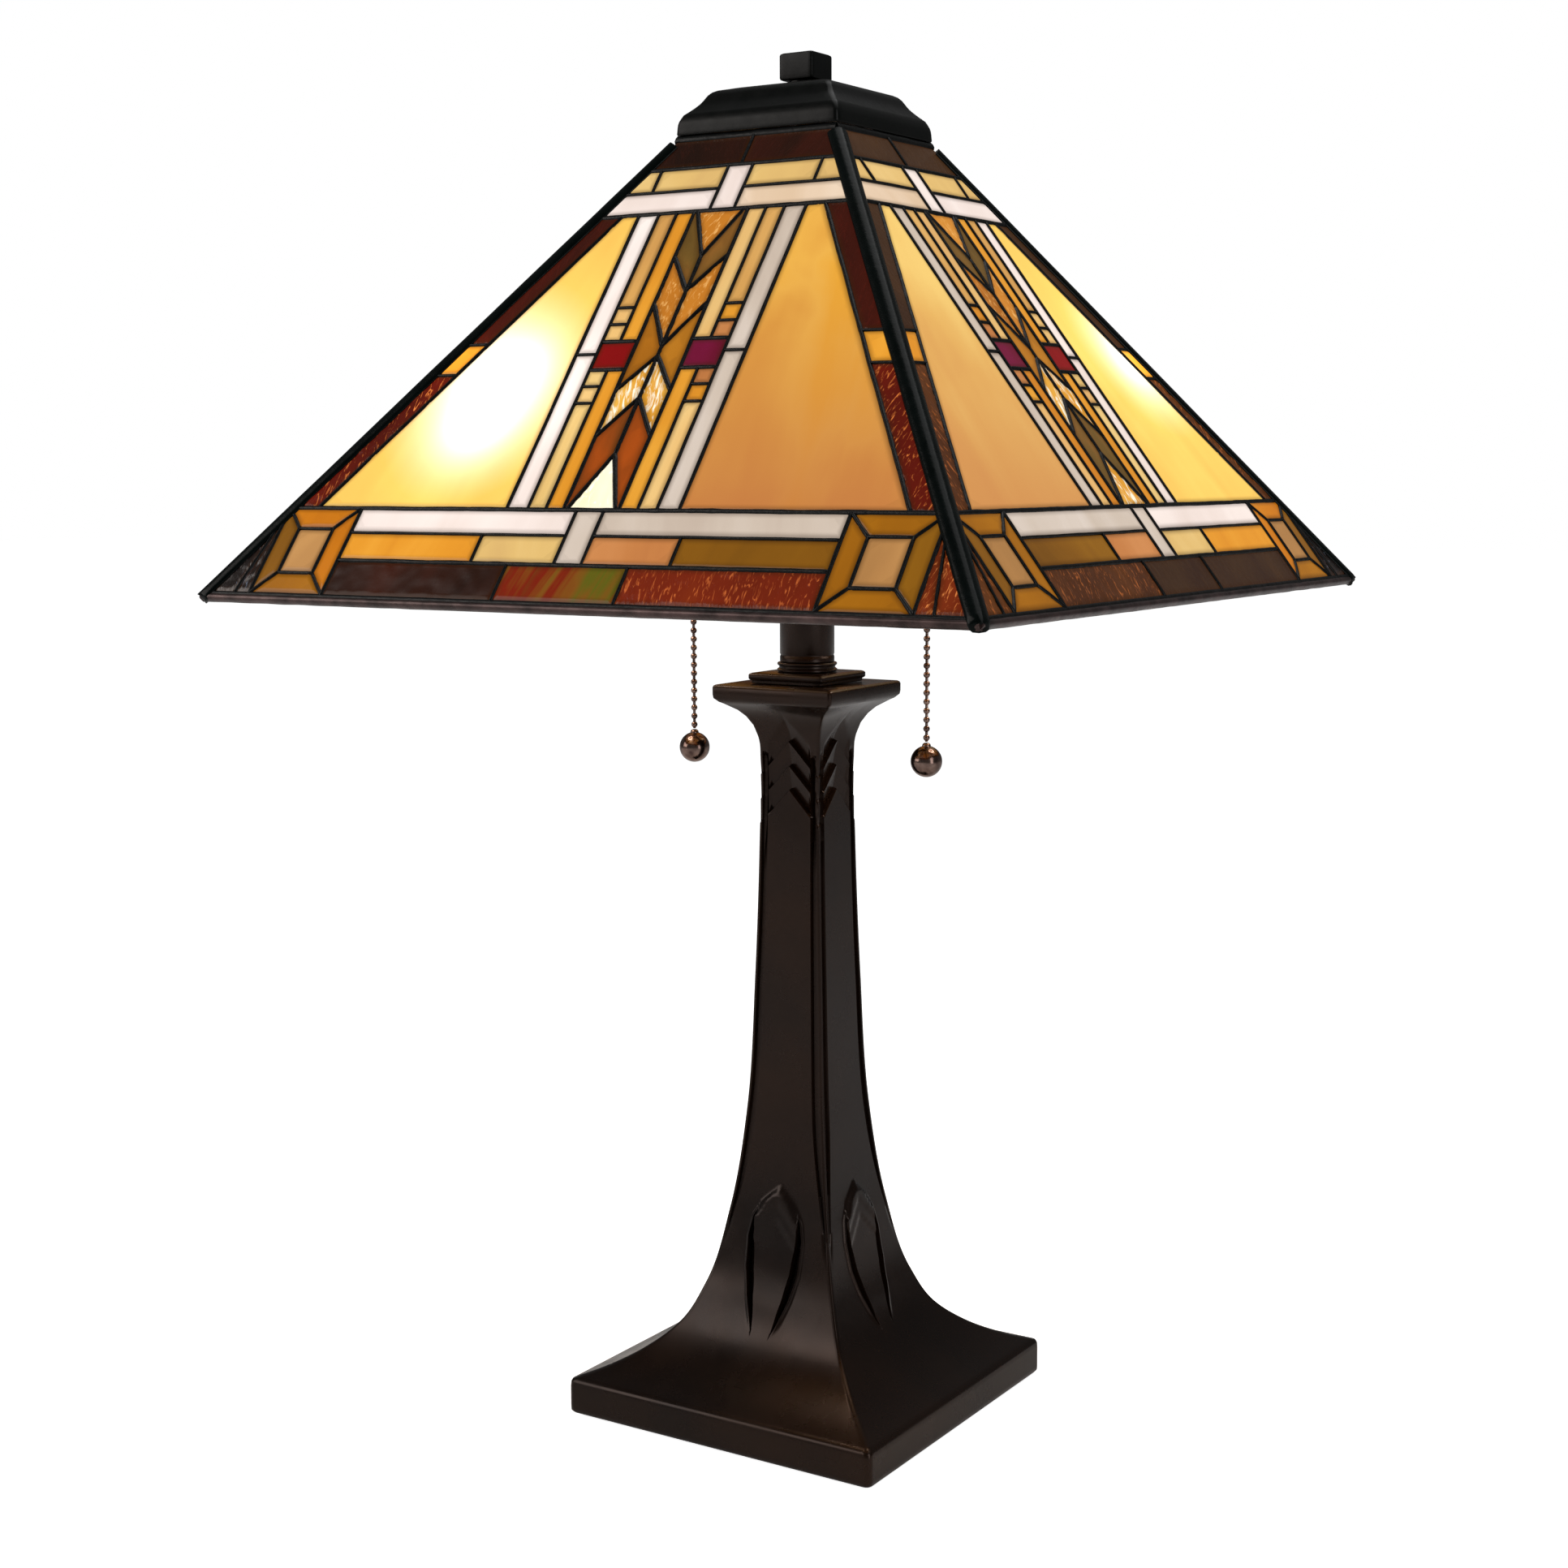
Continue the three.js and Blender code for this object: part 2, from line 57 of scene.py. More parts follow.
SIDES = ("front", "right", "back", "left")

SEED = 7
draw = random.Random(SEED)


# ---- Meshes ----

def add_object(name, verts, faces, material, body, smooth=True, slot=None):
    """A mesh object from points in millimetres."""
    mesh = bpy.data.meshes.new(name)
    mesh.from_pydata([Vector(v) * MM for v in verts], [], faces)
    materials = material if isinstance(material, (list, tuple)) else [material]
    for m in materials:
        mesh.materials.append(m)
    mesh.polygons.foreach_set("use_smooth", [smooth] * len(mesh.polygons))
    mesh.validate()
    mesh.update()
    obj = bpy.data.objects.new(name, mesh)
    bpy.context.scene.collection.objects.link(obj)
    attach(obj, body)
    return obj


def tidy_normals(obj, angle=None):
    """Make the faces look outwards, and keep edges sharper than angle crisp."""
    mesh = obj.data
    bm = bmesh.new()
    bm.from_mesh(mesh)
    bmesh.ops.recalc_face_normals(bm, faces=bm.faces)
    if angle is not None:
        for edge in bm.edges:
            if len(edge.link_faces) == 2 and edge.calc_face_angle() > math.radians(angle):
                edge.smooth = False
    bm.to_mesh(mesh)
    bm.free()


def lathe(profile, segments=64, closed=False):
    """Points and faces of a solid of revolution about Z from [radius, height] pairs."""
    verts, faces, rows = [], [], []
    for r, z in profile:
        if r < 1e-6:
            rows.append([len(verts)] * segments)
            verts.append((0, 0, z))
            continue
        rows.append([len(verts) + i for i in range(segments)])
        for i in range(segments):
            a = 2 * math.pi * i / segments
            verts.append((r * math.cos(a), r * math.sin(a), z))
    pairs = list(zip(rows, rows[1:]))
    if closed:
        pairs.append((rows[-1], rows[0]))
    for low, high in pairs:
        for i in range(segments):
            j = (i + 1) % segments
            face = []
            for v in (low[i], low[j], high[j], high[i]):
                if v not in face:
                    face.append(v)
            if len(face) > 2:
                faces.append(face)
    return verts, faces


def arc(centre, radius, start, end, steps):
    """Points on a circle in the [radius, height] plane, angles in degrees from the outward axis."""
    points = []
    for i in range(steps + 1):
        a = math.radians(start + (end - start) * i / steps)
        points.append((max(0.0, centre[0] + radius * math.cos(a)), centre[1] + radius * math.sin(a)))
    return points


def moved(verts, matrix):
    return [tuple(matrix @ Vector(v)) for v in verts]


def merge(parts):
    """Join several (verts, faces) pairs into one."""
    verts, faces = [], []
    for v, f in parts:
        shift = len(verts)
        verts += list(v)
        faces += [[i + shift for i in face] for face in f]
    return verts, faces


# ---- Materials ----

class Graph:
    """A material's node tree, with short ways to add nodes and arithmetic."""

    def __init__(self, name):
        self.material = bpy.data.materials.new(name)
        self.material.use_nodes = True
        self.tree = self.material.node_tree
        self.shader = self.tree.nodes["Principled BSDF"]

    def node(self, kind, **values):
        made = self.tree.nodes.new("ShaderNode" + kind)
        for key, value in values.items():
            if key in made.inputs:
                self.feed(made.inputs[key], value)
            else:
                setattr(made, key, value)
        return made

    def feed(self, socket, value):
        if isinstance(value, bpy.types.NodeSocket):
            self.tree.links.new(value, socket)
        else:
            socket.default_value = value

    def set(self, **values):
        for key, value in values.items():
            self.feed(self.shader.inputs[key.replace("_", " ")], value)

    def maths(self, operation, *values):
        made = self.tree.nodes.new("ShaderNodeMath")
        made.operation = operation
        for socket, value in zip(made.inputs, values):
            self.feed(socket, value)
        return made.outputs[0]

    def vector(self, operation, a, b=None, scale=None):
        made = self.tree.nodes.new("ShaderNodeVectorMath")
        made.operation = operation
        self.feed(made.inputs[0], a)
        if b is not None:
            self.feed(made.inputs[1], b)
        if scale is not None:
            self.feed(made.inputs["Scale"], scale)
        return made.outputs["Value" if operation in ("LENGTH", "DISTANCE", "DOT_PRODUCT") else "Vector"]

    def mix(self, amount, a, b):
        made = self.tree.nodes.new("ShaderNodeMix")
        made.data_type = "RGBA"
        self.feed(made.inputs["Factor"], amount)
        self.feed(made.inputs["A"], a)
        self.feed(made.inputs["B"], b)
        return made.outputs["Result"]

    def ramp(self, value, *stops):
        made = self.tree.nodes.new("ShaderNodeValToRGB")
        elements = made.color_ramp.elements
        while len(elements) < len(stops):
            elements.new(0.5)
        for element, (position, colour) in zip(elements, stops):
            element.position = position
            element.color = colour if len(colour) == 4 else (*colour, 1.0)
        self.feed(made.inputs["Fac"], value)
        return made.outputs["Color"]

    def rough_map(self, value, low, high, out_low, out_high):
        made = self.tree.nodes.new("ShaderNodeMapRange")
        self.feed(made.inputs["Value"], value)
        self.feed(made.inputs["From Min"], low)
        self.feed(made.inputs["From Max"], high)
        self.feed(made.inputs["To Min"], out_low)
        self.feed(made.inputs["To Max"], out_high)
        return made.outputs["Result"]

    def noise(self, vector, scale, detail=3.0, roughness=0.5, distortion=0.0):
        made = self.node("TexNoise", Scale=scale, Detail=detail, Roughness=roughness, Distortion=distortion)
        self.feed(made.inputs["Vector"], vector)
        return made.outputs["Fac"]

    def bump(self, height, strength, distance):
        made = self.node("Bump", Strength=strength, Distance=distance)
        self.feed(made.inputs["Height"], height)
        self.feed(self.shader.inputs["Normal"], made.outputs["Normal"])

    def place(self):
        """The point's place on the piece, in metres, which turns with the piece."""
        return self.node("TexCoord").outputs["Object"]


def rgb(text):
    """An sRGB hex colour as linear RGBA."""
    values = [int(text[i:i + 2], 16) / 255 for i in (0, 2, 4)]
    return tuple(v / 12.92 if v < 0.04045 else ((v + 0.055) / 1.055) ** 2.4 for v in values) + (1.0,)


def metal(name, dark, light, rough=0.35, metallic=0.8, grain=900, bump=0.15, patch=60, specular=0.5):
    """Cast, turned or patinated metal: softly mottled colour, uneven gloss and fine grain."""
    g = Graph(name)
    place = g.place()
    mottle = g.noise(place, patch, 3, 0.5)
    g.set(Base_Color=g.ramp(mottle, (0.3, rgb(dark)), (0.7, rgb(light))), Metallic=metallic)
    g.set(Roughness=g.rough_map(g.noise(place, patch * 2.3, 4, 0.6), 0.3, 0.7, rough - 0.05, rough + 0.07))
    g.shader.inputs["Specular IOR Level"].default_value = specular
    g.bump(g.noise(place, grain, 3, 0.6), bump, 0.0004)
    return g.material


BRONZE = metal("cast_bronze_paint", "140B07", "241409", rough=0.26, metallic=0.6, grain=300, bump=0.02, patch=14,
               specular=0.4)
PATINA = metal("dark_patina", "010302", "050605", rough=0.32, metallic=0.0, grain=400, bump=0.1, specular=0.12)
HIP_LEAD = metal("hip_solder_patina", "010504", "050B0A", rough=0.24, metallic=0.0, grain=240, bump=0.3, specular=0.08)
RIM_METAL = metal("rim_channel", "241614", "4C3A38", rough=0.36, metallic=0.6, grain=300, bump=0.2, patch=120)
CHAIN = metal("chain_bronze", "4A3A36", "8A746A", rough=0.16, metallic=1.0, grain=1200, bump=0.02, patch=200)
BRASS = metal("brass_fitting", "8A6428", "B88C42", rough=0.28, metallic=0.95, grain=900, bump=0.05)
STEEL = metal("steel_fitting", "7A7A78", "9A9A96", rough=0.3, metallic=0.95, grain=900, bump=0.05)
IRON = metal("cast_iron_weight", "1A1A1A", "303030", rough=0.7, metallic=0.7, grain=300, bump=0.5)


def solder_material():
    """Patinated solder: nearly black with a green cast, glossy on its little lumps."""
    g = Graph("solder_seams")
    place = g.place()
    tone = g.noise(place, 90, 5, 0.65)
    g.set(Base_Color=g.ramp(tone, (0.3, rgb("010202")), (0.7, rgb("050606"))), Metallic=0.0)
    g.set(Roughness=g.rough_map(g.noise(place, 260, 3, 0.6), 0.3, 0.7, 0.3, 0.5))
    g.shader.inputs["Specular IOR Level"].default_value = 0.16
    g.bump(g.noise(place, 420, 4, 0.6), 0.35, 0.0006)
    return g.material


SOLDER = solder_material()


def felt_material():
    g = Graph("felt")
    place = g.place()
    fibres = g.noise(place, 1800, 6, 0.8)
    g.set(Base_Color=g.ramp(fibres, (0.3, rgb("1C2A1C")), (0.7, rgb("3A4A36"))), Roughness=0.95)
    g.set(Sheen_Weight=0.4)
    g.bump(fibres, 0.8, 0.0006)
    return g.material


def plain_material(name, dark, light, rough, bump=0.1, scale=300):
    g = Graph(name)
    place = g.place()
    tone = g.noise(place, scale, 4, 0.6)
    g.set(Base_Color=g.ramp(tone, (0.3, rgb(dark)), (0.7, rgb(light))))
    g.set(Roughness=g.rough_map(tone, 0.3, 0.7, rough - 0.05, rough + 0.08))
    g.bump(tone, bump, 0.0004)
    return g.material


FELT = felt_material()
RUBBER = plain_material("black_rubber", "0D0D0D", "1A1A1A", 0.55, 0.25)
PORCELAIN = plain_material("porcelain", "D8D2C4", "ECE8DE", 0.25, 0.08)

# ---- The light in the shade ----
# Glass glows by how near it is to the places where the bulbs' light gathers on it. Far from them the light
# is 1, so a glass has just the colours that are given for it. Each place is on a side of the shade, with its
# peak, and the opposite side has the same one turned half round.
GLOW_SPOTS = (((-78, -129, 511), 1.55), ((-84, -146, 489), 1.55), ((122, 103, 520), 1.6))
GLOW_REACH = 0.036
HOT = (1.0, 0.98, 0.88, 1.0)
GLOW_FROM, GLOW_WHITE = 0.3, 2.2     # extra light at which milky glass starts to turn white, and is white
GRADE_LOW, GRADE_HIGH = 0.45, 0.56  # heights between which a graded glass changes colour


def lamp_light(g, point):
    """How much more light than elsewhere falls on the back of the glass here."""
    total = 0.0
    for (x, y, z), peak in GLOW_SPOTS:
        for turn in (1, -1):
            away = g.vector("DISTANCE", point, (turn * x * MM, turn * y * MM, z * MM))
            near = g.maths("POWER", g.maths("DIVIDE", away, GLOW_REACH), 2.0)
            falloff = g.maths("POWER", g.maths("ADD", near, 1.0), -2.0)
            total = g.maths("MULTIPLY_ADD", falloff, peak, total)
    return total


def glass(name, *tones, low=None, streak=(30, 6), spread=0.16, painted_glints=None, glint_shape=(520, 120),
          glint_amount=0.5, glint_from=0.54, gather=0.5, milky=False, rough=0.14, seam_shade_width=3.0, shine=0.1):
    """Art glass lit from behind. tones run from its darkest streaks to its lightest.

    low is the colour it changes to near the rim. The glint colour paints sparkles of light into the glow of
    rippled glass: painted glints. gather is how much brighter the glass gets near a bulb, and milky glass also
    turns white there. Within the seam shade width, in millimetres, of the solder the glow is darkened: painted shade.
    """
    g = Graph("glass_" + name)
    pane = g.node("Attribute", attribute_name="pane").outputs["Vector"]
    point = g.node("NewGeometry").outputs["Position"]
    swirl = g.noise(g.vector("MULTIPLY", pane, (streak[0], streak[1], 20.0)), 1.0, 4, 0.5, 0.5)
    cloud = g.noise(pane, 11.0, 3, 0.5, 0.5)
    tone = g.maths("MULTIPLY_ADD", swirl, 0.55, g.maths("MULTIPLY", cloud, 0.45))
    last = len(tones) - 1
    stops = [(0.5 - spread + 2 * spread * i / last, rgb(t)) for i, t in enumerate(tones)]
    colour = g.ramp(tone, *stops)
    if low:
        split = g.node("SeparateXYZ")
        g.feed(split.inputs[0], point)
        height = g.maths("MULTIPLY_ADD", tone, 0.06, g.maths("SUBTRACT", split.outputs["Z"], 0.03))
        colour = g.mix(g.rough_map(height, GRADE_LOW, GRADE_HIGH, 0.9, 0.0), colour, rgb(low))
    extra = lamp_light(g, point)
    strength = g.maths("MULTIPLY_ADD", extra, gather, 1.0)
    glow_colour = g.mix(g.rough_map(extra, GLOW_FROM, GLOW_WHITE, 0.0, 1.0), colour, HOT) if milky else colour
    # Painted glints: sparkles of light in rippled glass, painted into its glow; the same ripple also bumps the
    # surface.
    if painted_glints:
        ripple = g.noise(g.vector("MULTIPLY", pane, (*glint_shape, 60.0)), 1.0, 3, 0.55, 1.6)
        painted_glint = g.rough_map(ripple, glint_from, glint_from + 0.13, 0.0, 1.0)
        glow_colour = g.mix(g.maths("MULTIPLY", painted_glint, glint_amount), glow_colour, rgb(painted_glints))
        g.bump(ripple, 0.22, 0.0012)
    else:
        g.bump(cloud, 0.2, 0.0015)
    # Painted shade: the glow darkens towards the solder, by each point's distance from the edge of its piece.
    edge = g.node("Attribute", attribute_name="edge").outputs["Fac"]
    inside = g.rough_map(edge, 0.0, seam_shade_width, 0.0, 1.0)
    shade = g.mix(0.86, glow_colour, (0.03, 0.008, 0.0, 1))
    glow_colour = g.mix(g.maths("POWER", inside, 0.7), shade, glow_colour)
    g.set(Base_Color=g.mix(0.9, colour, (0.01, 0.006, 0.004, 1)), Roughness=rough)
    g.set(Emission_Color=glow_colour, Emission_Strength=strength)
    g.shader.inputs["Specular IOR Level"].default_value = shine
    return g.material


# Kinds given as lit_kind, such as pale, white and frame_lit, are looks of a glass in the half of a side nearer a bulb:
# painted light.
GLASS = {
    "honey": glass("honey", "D08C3C", "DC9C3E", "E8AE4A", "E4A234", low="BE7640", streak=(26, 3), spread=0.13),
    "straw": glass("straw", "E0A858", "EABA62", "F2CA72", low="CC8A4E", streak=(26, 3), spread=0.13),
    "pale": glass("pale", "F4BE58", "F9CC62", "FCDA6E", streak=(22, 3), gather=0.6, milky=True),
    "white": glass("white", "E6D4CA", "F0E0D8", "FAEEE6", gather=0.5, milky=True),
    "shell": glass("shell", "BEAC9C", "CCBCAC", "DACCC0", gather=0.5, milky=True),
    "cream": glass("cream", "DCA868", "E6B870", "ECC884", gather=0.6),
    "ivory": glass("ivory", "D8BA98", "E4CAAE", "ECD6BE", gather=0.6),
    "butter": glass("butter", "D0A868", "DEB870", "EAC884", gather=0.6),
    "amber": glass("amber", "D08020", "E09428", "ECA638"),
    "tan": glass("tan", "C48E4C", "D09C54", "DCAC64"),
    "ochre": glass("ochre", "6E460C", "80520E", "8E5E10"),
    "frame": glass("frame", "8E560A", "9E620C", "AC6E12"),
    "frame_lit": glass("frame_lit", "B8680C", "C87610", "DA8A22"),
    "peach": glass("peach", "9C7040", "B2804A", "C89458"),
    "rose": glass("rose", "B46E3C", "C27C44", "D08C54"),
    "streaky": glass("streaky", "4A440E", "565A10", "7A4A12", "761806", "5C4410", streak=(75, 9), spread=0.13),
    "brown": glass("brown", "140300", "260901", "3C1002", rough=0.3),
    "rusty": glass("rusty", "521404", "701F08", "82300C", painted_glints="E87C3C", glint_amount=0.6, glint_from=0.57),
    "border": glass("border", "1E0402", "380A03", "501205", painted_glints="62180C", glint_amount=0.2),
    "border_low": glass("border_low", "3E0802", "560D03", "6A1404", painted_glints="F58A40", glint_amount=0.75,
                        glint_from=0.57),
    "band": glass("band", "0C0301", "1E0702", "300C04", painted_glints="40140A", glint_amount=0.2),
    "umber": glass("umber", "2A140A", "36200E", "442A14", painted_glints="503418", glint_amount=0.2),
    "umber_low": glass("umber_low", "3A1A08", "4E280C", "643610", painted_glints="D87838", glint_amount=0.5, glint_from=0.57),
    # Black glass: its blue-white glints are painted reflections of the lights.
    "dark": glass("dark", "040203", "080506", "120806", painted_glints="B8C8E8", glint_amount=0.7, glint_from=0.64,
                  glint_shape=(420, 60), shine=0.3),
    "ember": glass("ember", "581804", "70260A", "863410", painted_glints="FF9A50", glint_amount=0.8, glint_from=0.56),
    "magenta": glass("magenta", "56041A", "680A2C", "780E40", gather=0.2),
    "red": glass("red", "6C0205", "800308", "900810", gather=0.2),
    "feather": glass("feather", "A4601A", "C07622", "D28A30", painted_glints="FFC878", glint_amount=0.6, gather=0.4,
                     glint_shape=(420, 130)),
    "golden": glass("golden", "8E540E", "AA6814", "BE7E22", gather=0.2, seam_shade_width=3.5),
    "sunlit": glass("sunlit", "BC7418", "DC9A30", "F0BC54", painted_glints="FFFBE4", glint_amount=1.0, glint_from=0.5,
                    glint_shape=(300, 70)),
    "blazing": glass("blazing", "F8D070", "FFF0C0", "FFFCF0", painted_glints="FFFFFF", glint_amount=1.0,
                     glint_shape=(200, 90), seam_shade_width=1.2),
    "olive": glass("olive", "54401A", "6C5020", "8A5A24", gather=0.2, seam_shade_width=3.5, streak=(60, 20)),
    "rust": glass("rust", "6A3A10", "94420C", "A84A0E", gather=0.2, seam_shade_width=3.5, streak=(60, 20)),
}
GLASS_ORDER = list(GLASS)
TEXTURED = {"brown", "rusty", "border_low", "umber_low", "dark", "ember", "feather", "sunlit", "blazing"}
# What the glass of the front and back is instead on the right and left
EARTHY = {"border": "umber", "band": "umber", "border_low": "umber_low", "rusty": "umber_low", "brown": "umber",
          "ember": "umber_low", "rust": "olive", "streaky": "umber", "honey": "straw", "blazing": "sunlit"}


# ---- Shade: leading pattern of one side, in millimetres ----
# u runs along the side from its centre line, and v up the slope from the rim.

def hip_at(v):
    """Half width of the side at v."""
    return RIM_HALF - LEAN * v


def on_face(side, u, v, depth):
    """A point of a side, depth below its outer face, in the lamp's frame."""
    x = u
    y = -(RIM_HALF - LEAN * v) + depth * RISE
    z = RIM_HEIGHT + RISE * v - depth * LEAN
    turn = Matrix.Rotation(SIDES.index(side) * math.pi / 2, 3, "Z")
    return turn @ Vector((x, y, z))


def cut(shape, point, along):
    """Cut a convex shape by a line. Returns its part on the left of the line, its right part and the seam."""
    px, py = point
    dx, dy = along
    left, right, seam = [], [], []
    n = len(shape)
    side_of = [dx * (y - py) - dy * (x - px) for x, y in shape]
    for i in range(n):
        a, b = shape[i], shape[(i + 1) % n]
        sa, sb = side_of[i], side_of[(i + 1) % n]
        if sa >= 0:
            left.append(a)
        if sa <= 0:
            right.append(a)
        if sa * sb < 0:
            t = sa / (sa - sb)
            crossing = (a[0] + t * (b[0] - a[0]), a[1] + t * (b[1] - a[1]))
            left.append(crossing)
            right.append(crossing)
            seam.append(crossing)
        elif sa == 0:
            seam.append(a)
    return left, right, seam[:2]


class Leading:
    """The pieces of glass and the seams of one side, laid on its right half and then mirrored."""

    def __init__(self):
        self.pieces = []      # (corners, kind of glass)
        self.seams = []       # (start, end, half width)
        self.sign = 1         # 1 while the right half is laid, -1 for the left
        self.dim = True       # whether this half is the one farther from its bulb

    def mirrored(self, points):
        return [(self.sign * u, v) for u, v in points]

    def seam(self, ends, half=SEAM_HALF):
        """A seam. One that starts at the centre line is laid once, right across it."""
        if len(ends) < 2:
            return
        (u0, v0), (u1, v1) = ends
        if min(u0, u1) < 1e-6 and abs(v0 - v1) < 1e-6:
            if self.sign == 1:
                reach = max(u0, u1)
                self.seams.append(((-reach, v0), (reach, v0), half))
            return
        if max(u0, u1) < 1e-6 and self.sign == -1:
            return
        self.seams.append((*self.mirrored(ends), half))

    def level(self, shape, v, half=SEAM_HALF):
        """Cut along a level line: returns what is below and what is above."""
        above, below, seam = cut(shape, (0, v), (1, 0))
        self.seam(seam, half)
        return below, above

    def upright(self, shape, u, half=SEAM_HALF):
        """Cut straight up the slope: returns the part nearer the centre line, and the other."""
        inner, outer, seam = cut(shape, (u, 0), (0, 1))
        self.seam(seam, half)
        return inner, outer

    def slant(self, shape, a, b, half=SEAM_HALF):
        """Cut from a to b: returns what is on the left and on the right of that line."""
        left, right, seam = cut(shape, a, (b[0] - a[0], b[1] - a[1]))
        self.seam(seam, half)
        return left, right

    def add(self, shape, kind, lit_kind=None):
        """A piece. If lit_kind is given, the half nearer the bulb takes it instead: painted light, the look of the
        same glass there.
        """
        self.pieces.append((self.mirrored(shape), kind if self.dim else lit_kind or kind))

    def add_across(self, shape, kind):
        """A piece that lies across the centre line, from its right half."""
        if self.sign == 1:
            right = sorted((p for p in shape if p[0] > 1e-6), key=lambda p: p[1])
            low, high = min(v for u, v in shape), max(v for u, v in shape)
            left = [(-u, v) for u, v in reversed(right)]
            tip_below = [(0, low)] if right[0][1] > low + 1e-6 else []
            tip_above = [(0, high)] if right[-1][1] < high - 1e-6 else []
            self.pieces.append((tip_below + right + tip_above + left, kind))


BOTTOM_V, TOP_V = 2.5, 262.0
BOTTOM_BAND, LOWER_ROW, MAIN_BOTTOM = 21.5, 36.6, 50.0
MAIN_TOP, UPPER_ROW, TOP_BAND = 217.0, 230.2, 244.2
MOTIF_HALF, AMBER_OUT, STRIP_OUT, WHITE_OUT = 14.6, 24.3, 34.2, 45.6
BOX_IN, BOX_OUT = 129.0, 173.0
BOX_WALL = 11.6
CENTRE_HALF = 7.2
BORDER = 13.6             # level width of the border beside the hip came
STREAK_LEAN = 0.16        # how far the streaks of the big pieces lean towards the centre line
UNDER_CAME = 2.8          # how far from the hip the glass ends, under the came


def hip_line(inset):
    """Two points of a line parallel to the hip, from the rim to the top."""
    return (hip_at(0) - inset, 0), (hip_at(SLOPE) - inset, SLOPE)


def lay_motif(lead, shape):
    """Feathers that point down from the top and up from the rim."""
    top, rest = lead.slant(shape, (0, 190), (13.0, MAIN_TOP), 1.5)
    lead.add_across(top, "feather")
    for low, high, kind in (
        ((0, 169.5), (MOTIF_HALF, 190), "olive"),
        ((0, 138.5), (MOTIF_HALF, 163), "feather"),
        ((0, 133), (MOTIF_HALF, 114), "golden"),
        ((0, 110), (MOTIF_HALF, 89), "sunlit"),
        ((0, 79.5), (13.0, MAIN_BOTTOM), "rust"),
    ):
        upper, rest = lead.slant(rest, low, high, 1.6)
        lead.add(upper, kind)
    lead.add_across(rest, "blazing")
    lead.seam([(0, 79.5), (0, 190)], 1.5)


def lay_box(lead, shape):
    """A square in a mitred frame, and the textured leaves of glass between it and the hip."""
    shape, outer = lead.upright(shape, BOX_OUT, 1.3)
    w = BOX_WALL
    big = [(BOX_IN, BOTTOM_V), (BOX_OUT, BOTTOM_V), (BOX_OUT, MAIN_BOTTOM), (BOX_IN, MAIN_BOTTOM)]
    small = [(BOX_IN + w, BOTTOM_V + w), (BOX_OUT - w, BOTTOM_V + w),
             (BOX_OUT - w, MAIN_BOTTOM - w), (BOX_IN + w, MAIN_BOTTOM - w)]
    for i, kind in enumerate(("frame", "ochre", "frame", "frame")):
        j = (i + 1) % 4
        piece = keep_left([big[i], big[j], small[j], small[i]], *hip_line(UNDER_CAME))
        lead.add(piece, kind, "frame_lit" if i > 1 else kind)
        lead.seam([big[i], small[i]], 1.15)
        lead.seam([small[i], small[j]], 1.15)
    lead.add(small, "peach")
    inner, outer = lead.slant(outer, (BOX_OUT + 9, BOTTOM_V), (BOX_OUT, MAIN_BOTTOM), 1.0)
    lead.add(inner, "ember", "dark")
    lead.add(outer, "ember", "dark")


def lay_lower(lead, shape):
    """The bands along the rim."""
    shape, box = lead.upright(shape, BOX_IN, 1.3)
    lay_box(lead, box)
    band, rows = lead.level(shape, BOTTOM_BAND, 1.4)
    middle, outer = lead.upright(band, 32)
    lead.add_across(middle, "streaky")
    lead.add(outer, "rusty", "brown")
    centre, rows = lead.upright(rows, CENTRE_HALF)
    lead.add_across(centre, "shell")
    row, above = lead.level(rows, LOWER_ROW)
    lead.add(above, "shell", "white")
    inner, outer = lead.upright(row, 52.5)
    lead.add(inner, "rose", "butter")
    lead.add(outer, "ochre", "amber")


def lay_strips(lead, shape):
    """From the motif outwards: the amber strip, the strip with small squares, and the white strip."""
    shape, white = lead.upright(shape, STRIP_OUT)
    for part in lead.level(white, 135):
        lead.add(part, "shell", "white")
    low, upper = lead.level(shape, 126, 1.4)
    red, high = lead.level(upper, 142, 1.4)
    lead.add(red, "magenta", "red")
    amber, strip = lead.upright(high, AMBER_OUT)
    lead.add(amber, "cream", "amber")
    for top, right_kind, left_kind in ((151.8, "rose", "cream"), (161.3, "amber", "cream")):
        square, strip = lead.level(strip, top)
        lead.add(square, right_kind, left_kind)
    lead.add(strip, "tan")
    amber, strip = lead.upright(low, AMBER_OUT)
    lead.add(amber, "amber")
    for bottom, right_kind, left_kind in ((116.8, "rose", "butter"), (107.4, "amber", "cream")):
        strip, square = lead.level(strip, bottom)
        lead.add(square, right_kind, left_kind)
    lead.add(strip, "cream", "butter")


def lay_main(lead, shape):
    shape, outer = lead.upright(shape, WHITE_OUT, 1.2)
    big, border = lead.slant(outer, *hip_line(HIP_HALF + BORDER), 1.3)
    lead.add(big, "honey", "pale")
    low, border = lead.level(border, 125.5)
    square, high = lead.level(border, 143)
    lead.add(low, "border_low")
    lead.add(square, "amber")
    lead.add(high, "border")
    motif, shape = lead.upright(shape, MOTIF_HALF, 1.4)
    lay_motif(lead, motif)
    lay_strips(lead, shape)


def lay_upper(lead, shape):
    rows, band = lead.level(shape, TOP_BAND, 1.4)
    lead.add(band, "band")
    lead.seam([(0, TOP_BAND), (0, TOP_V)], 1.0)
    centre, rows = lead.upright(rows, CENTRE_HALF - 0.5)
    lead.add_across(centre, "white")
    low, high = lead.level(rows, UPPER_ROW)
    lead.add(low, "ivory", "white")
    for part in lead.upright(high, 44):
        lead.add(part, "butter")


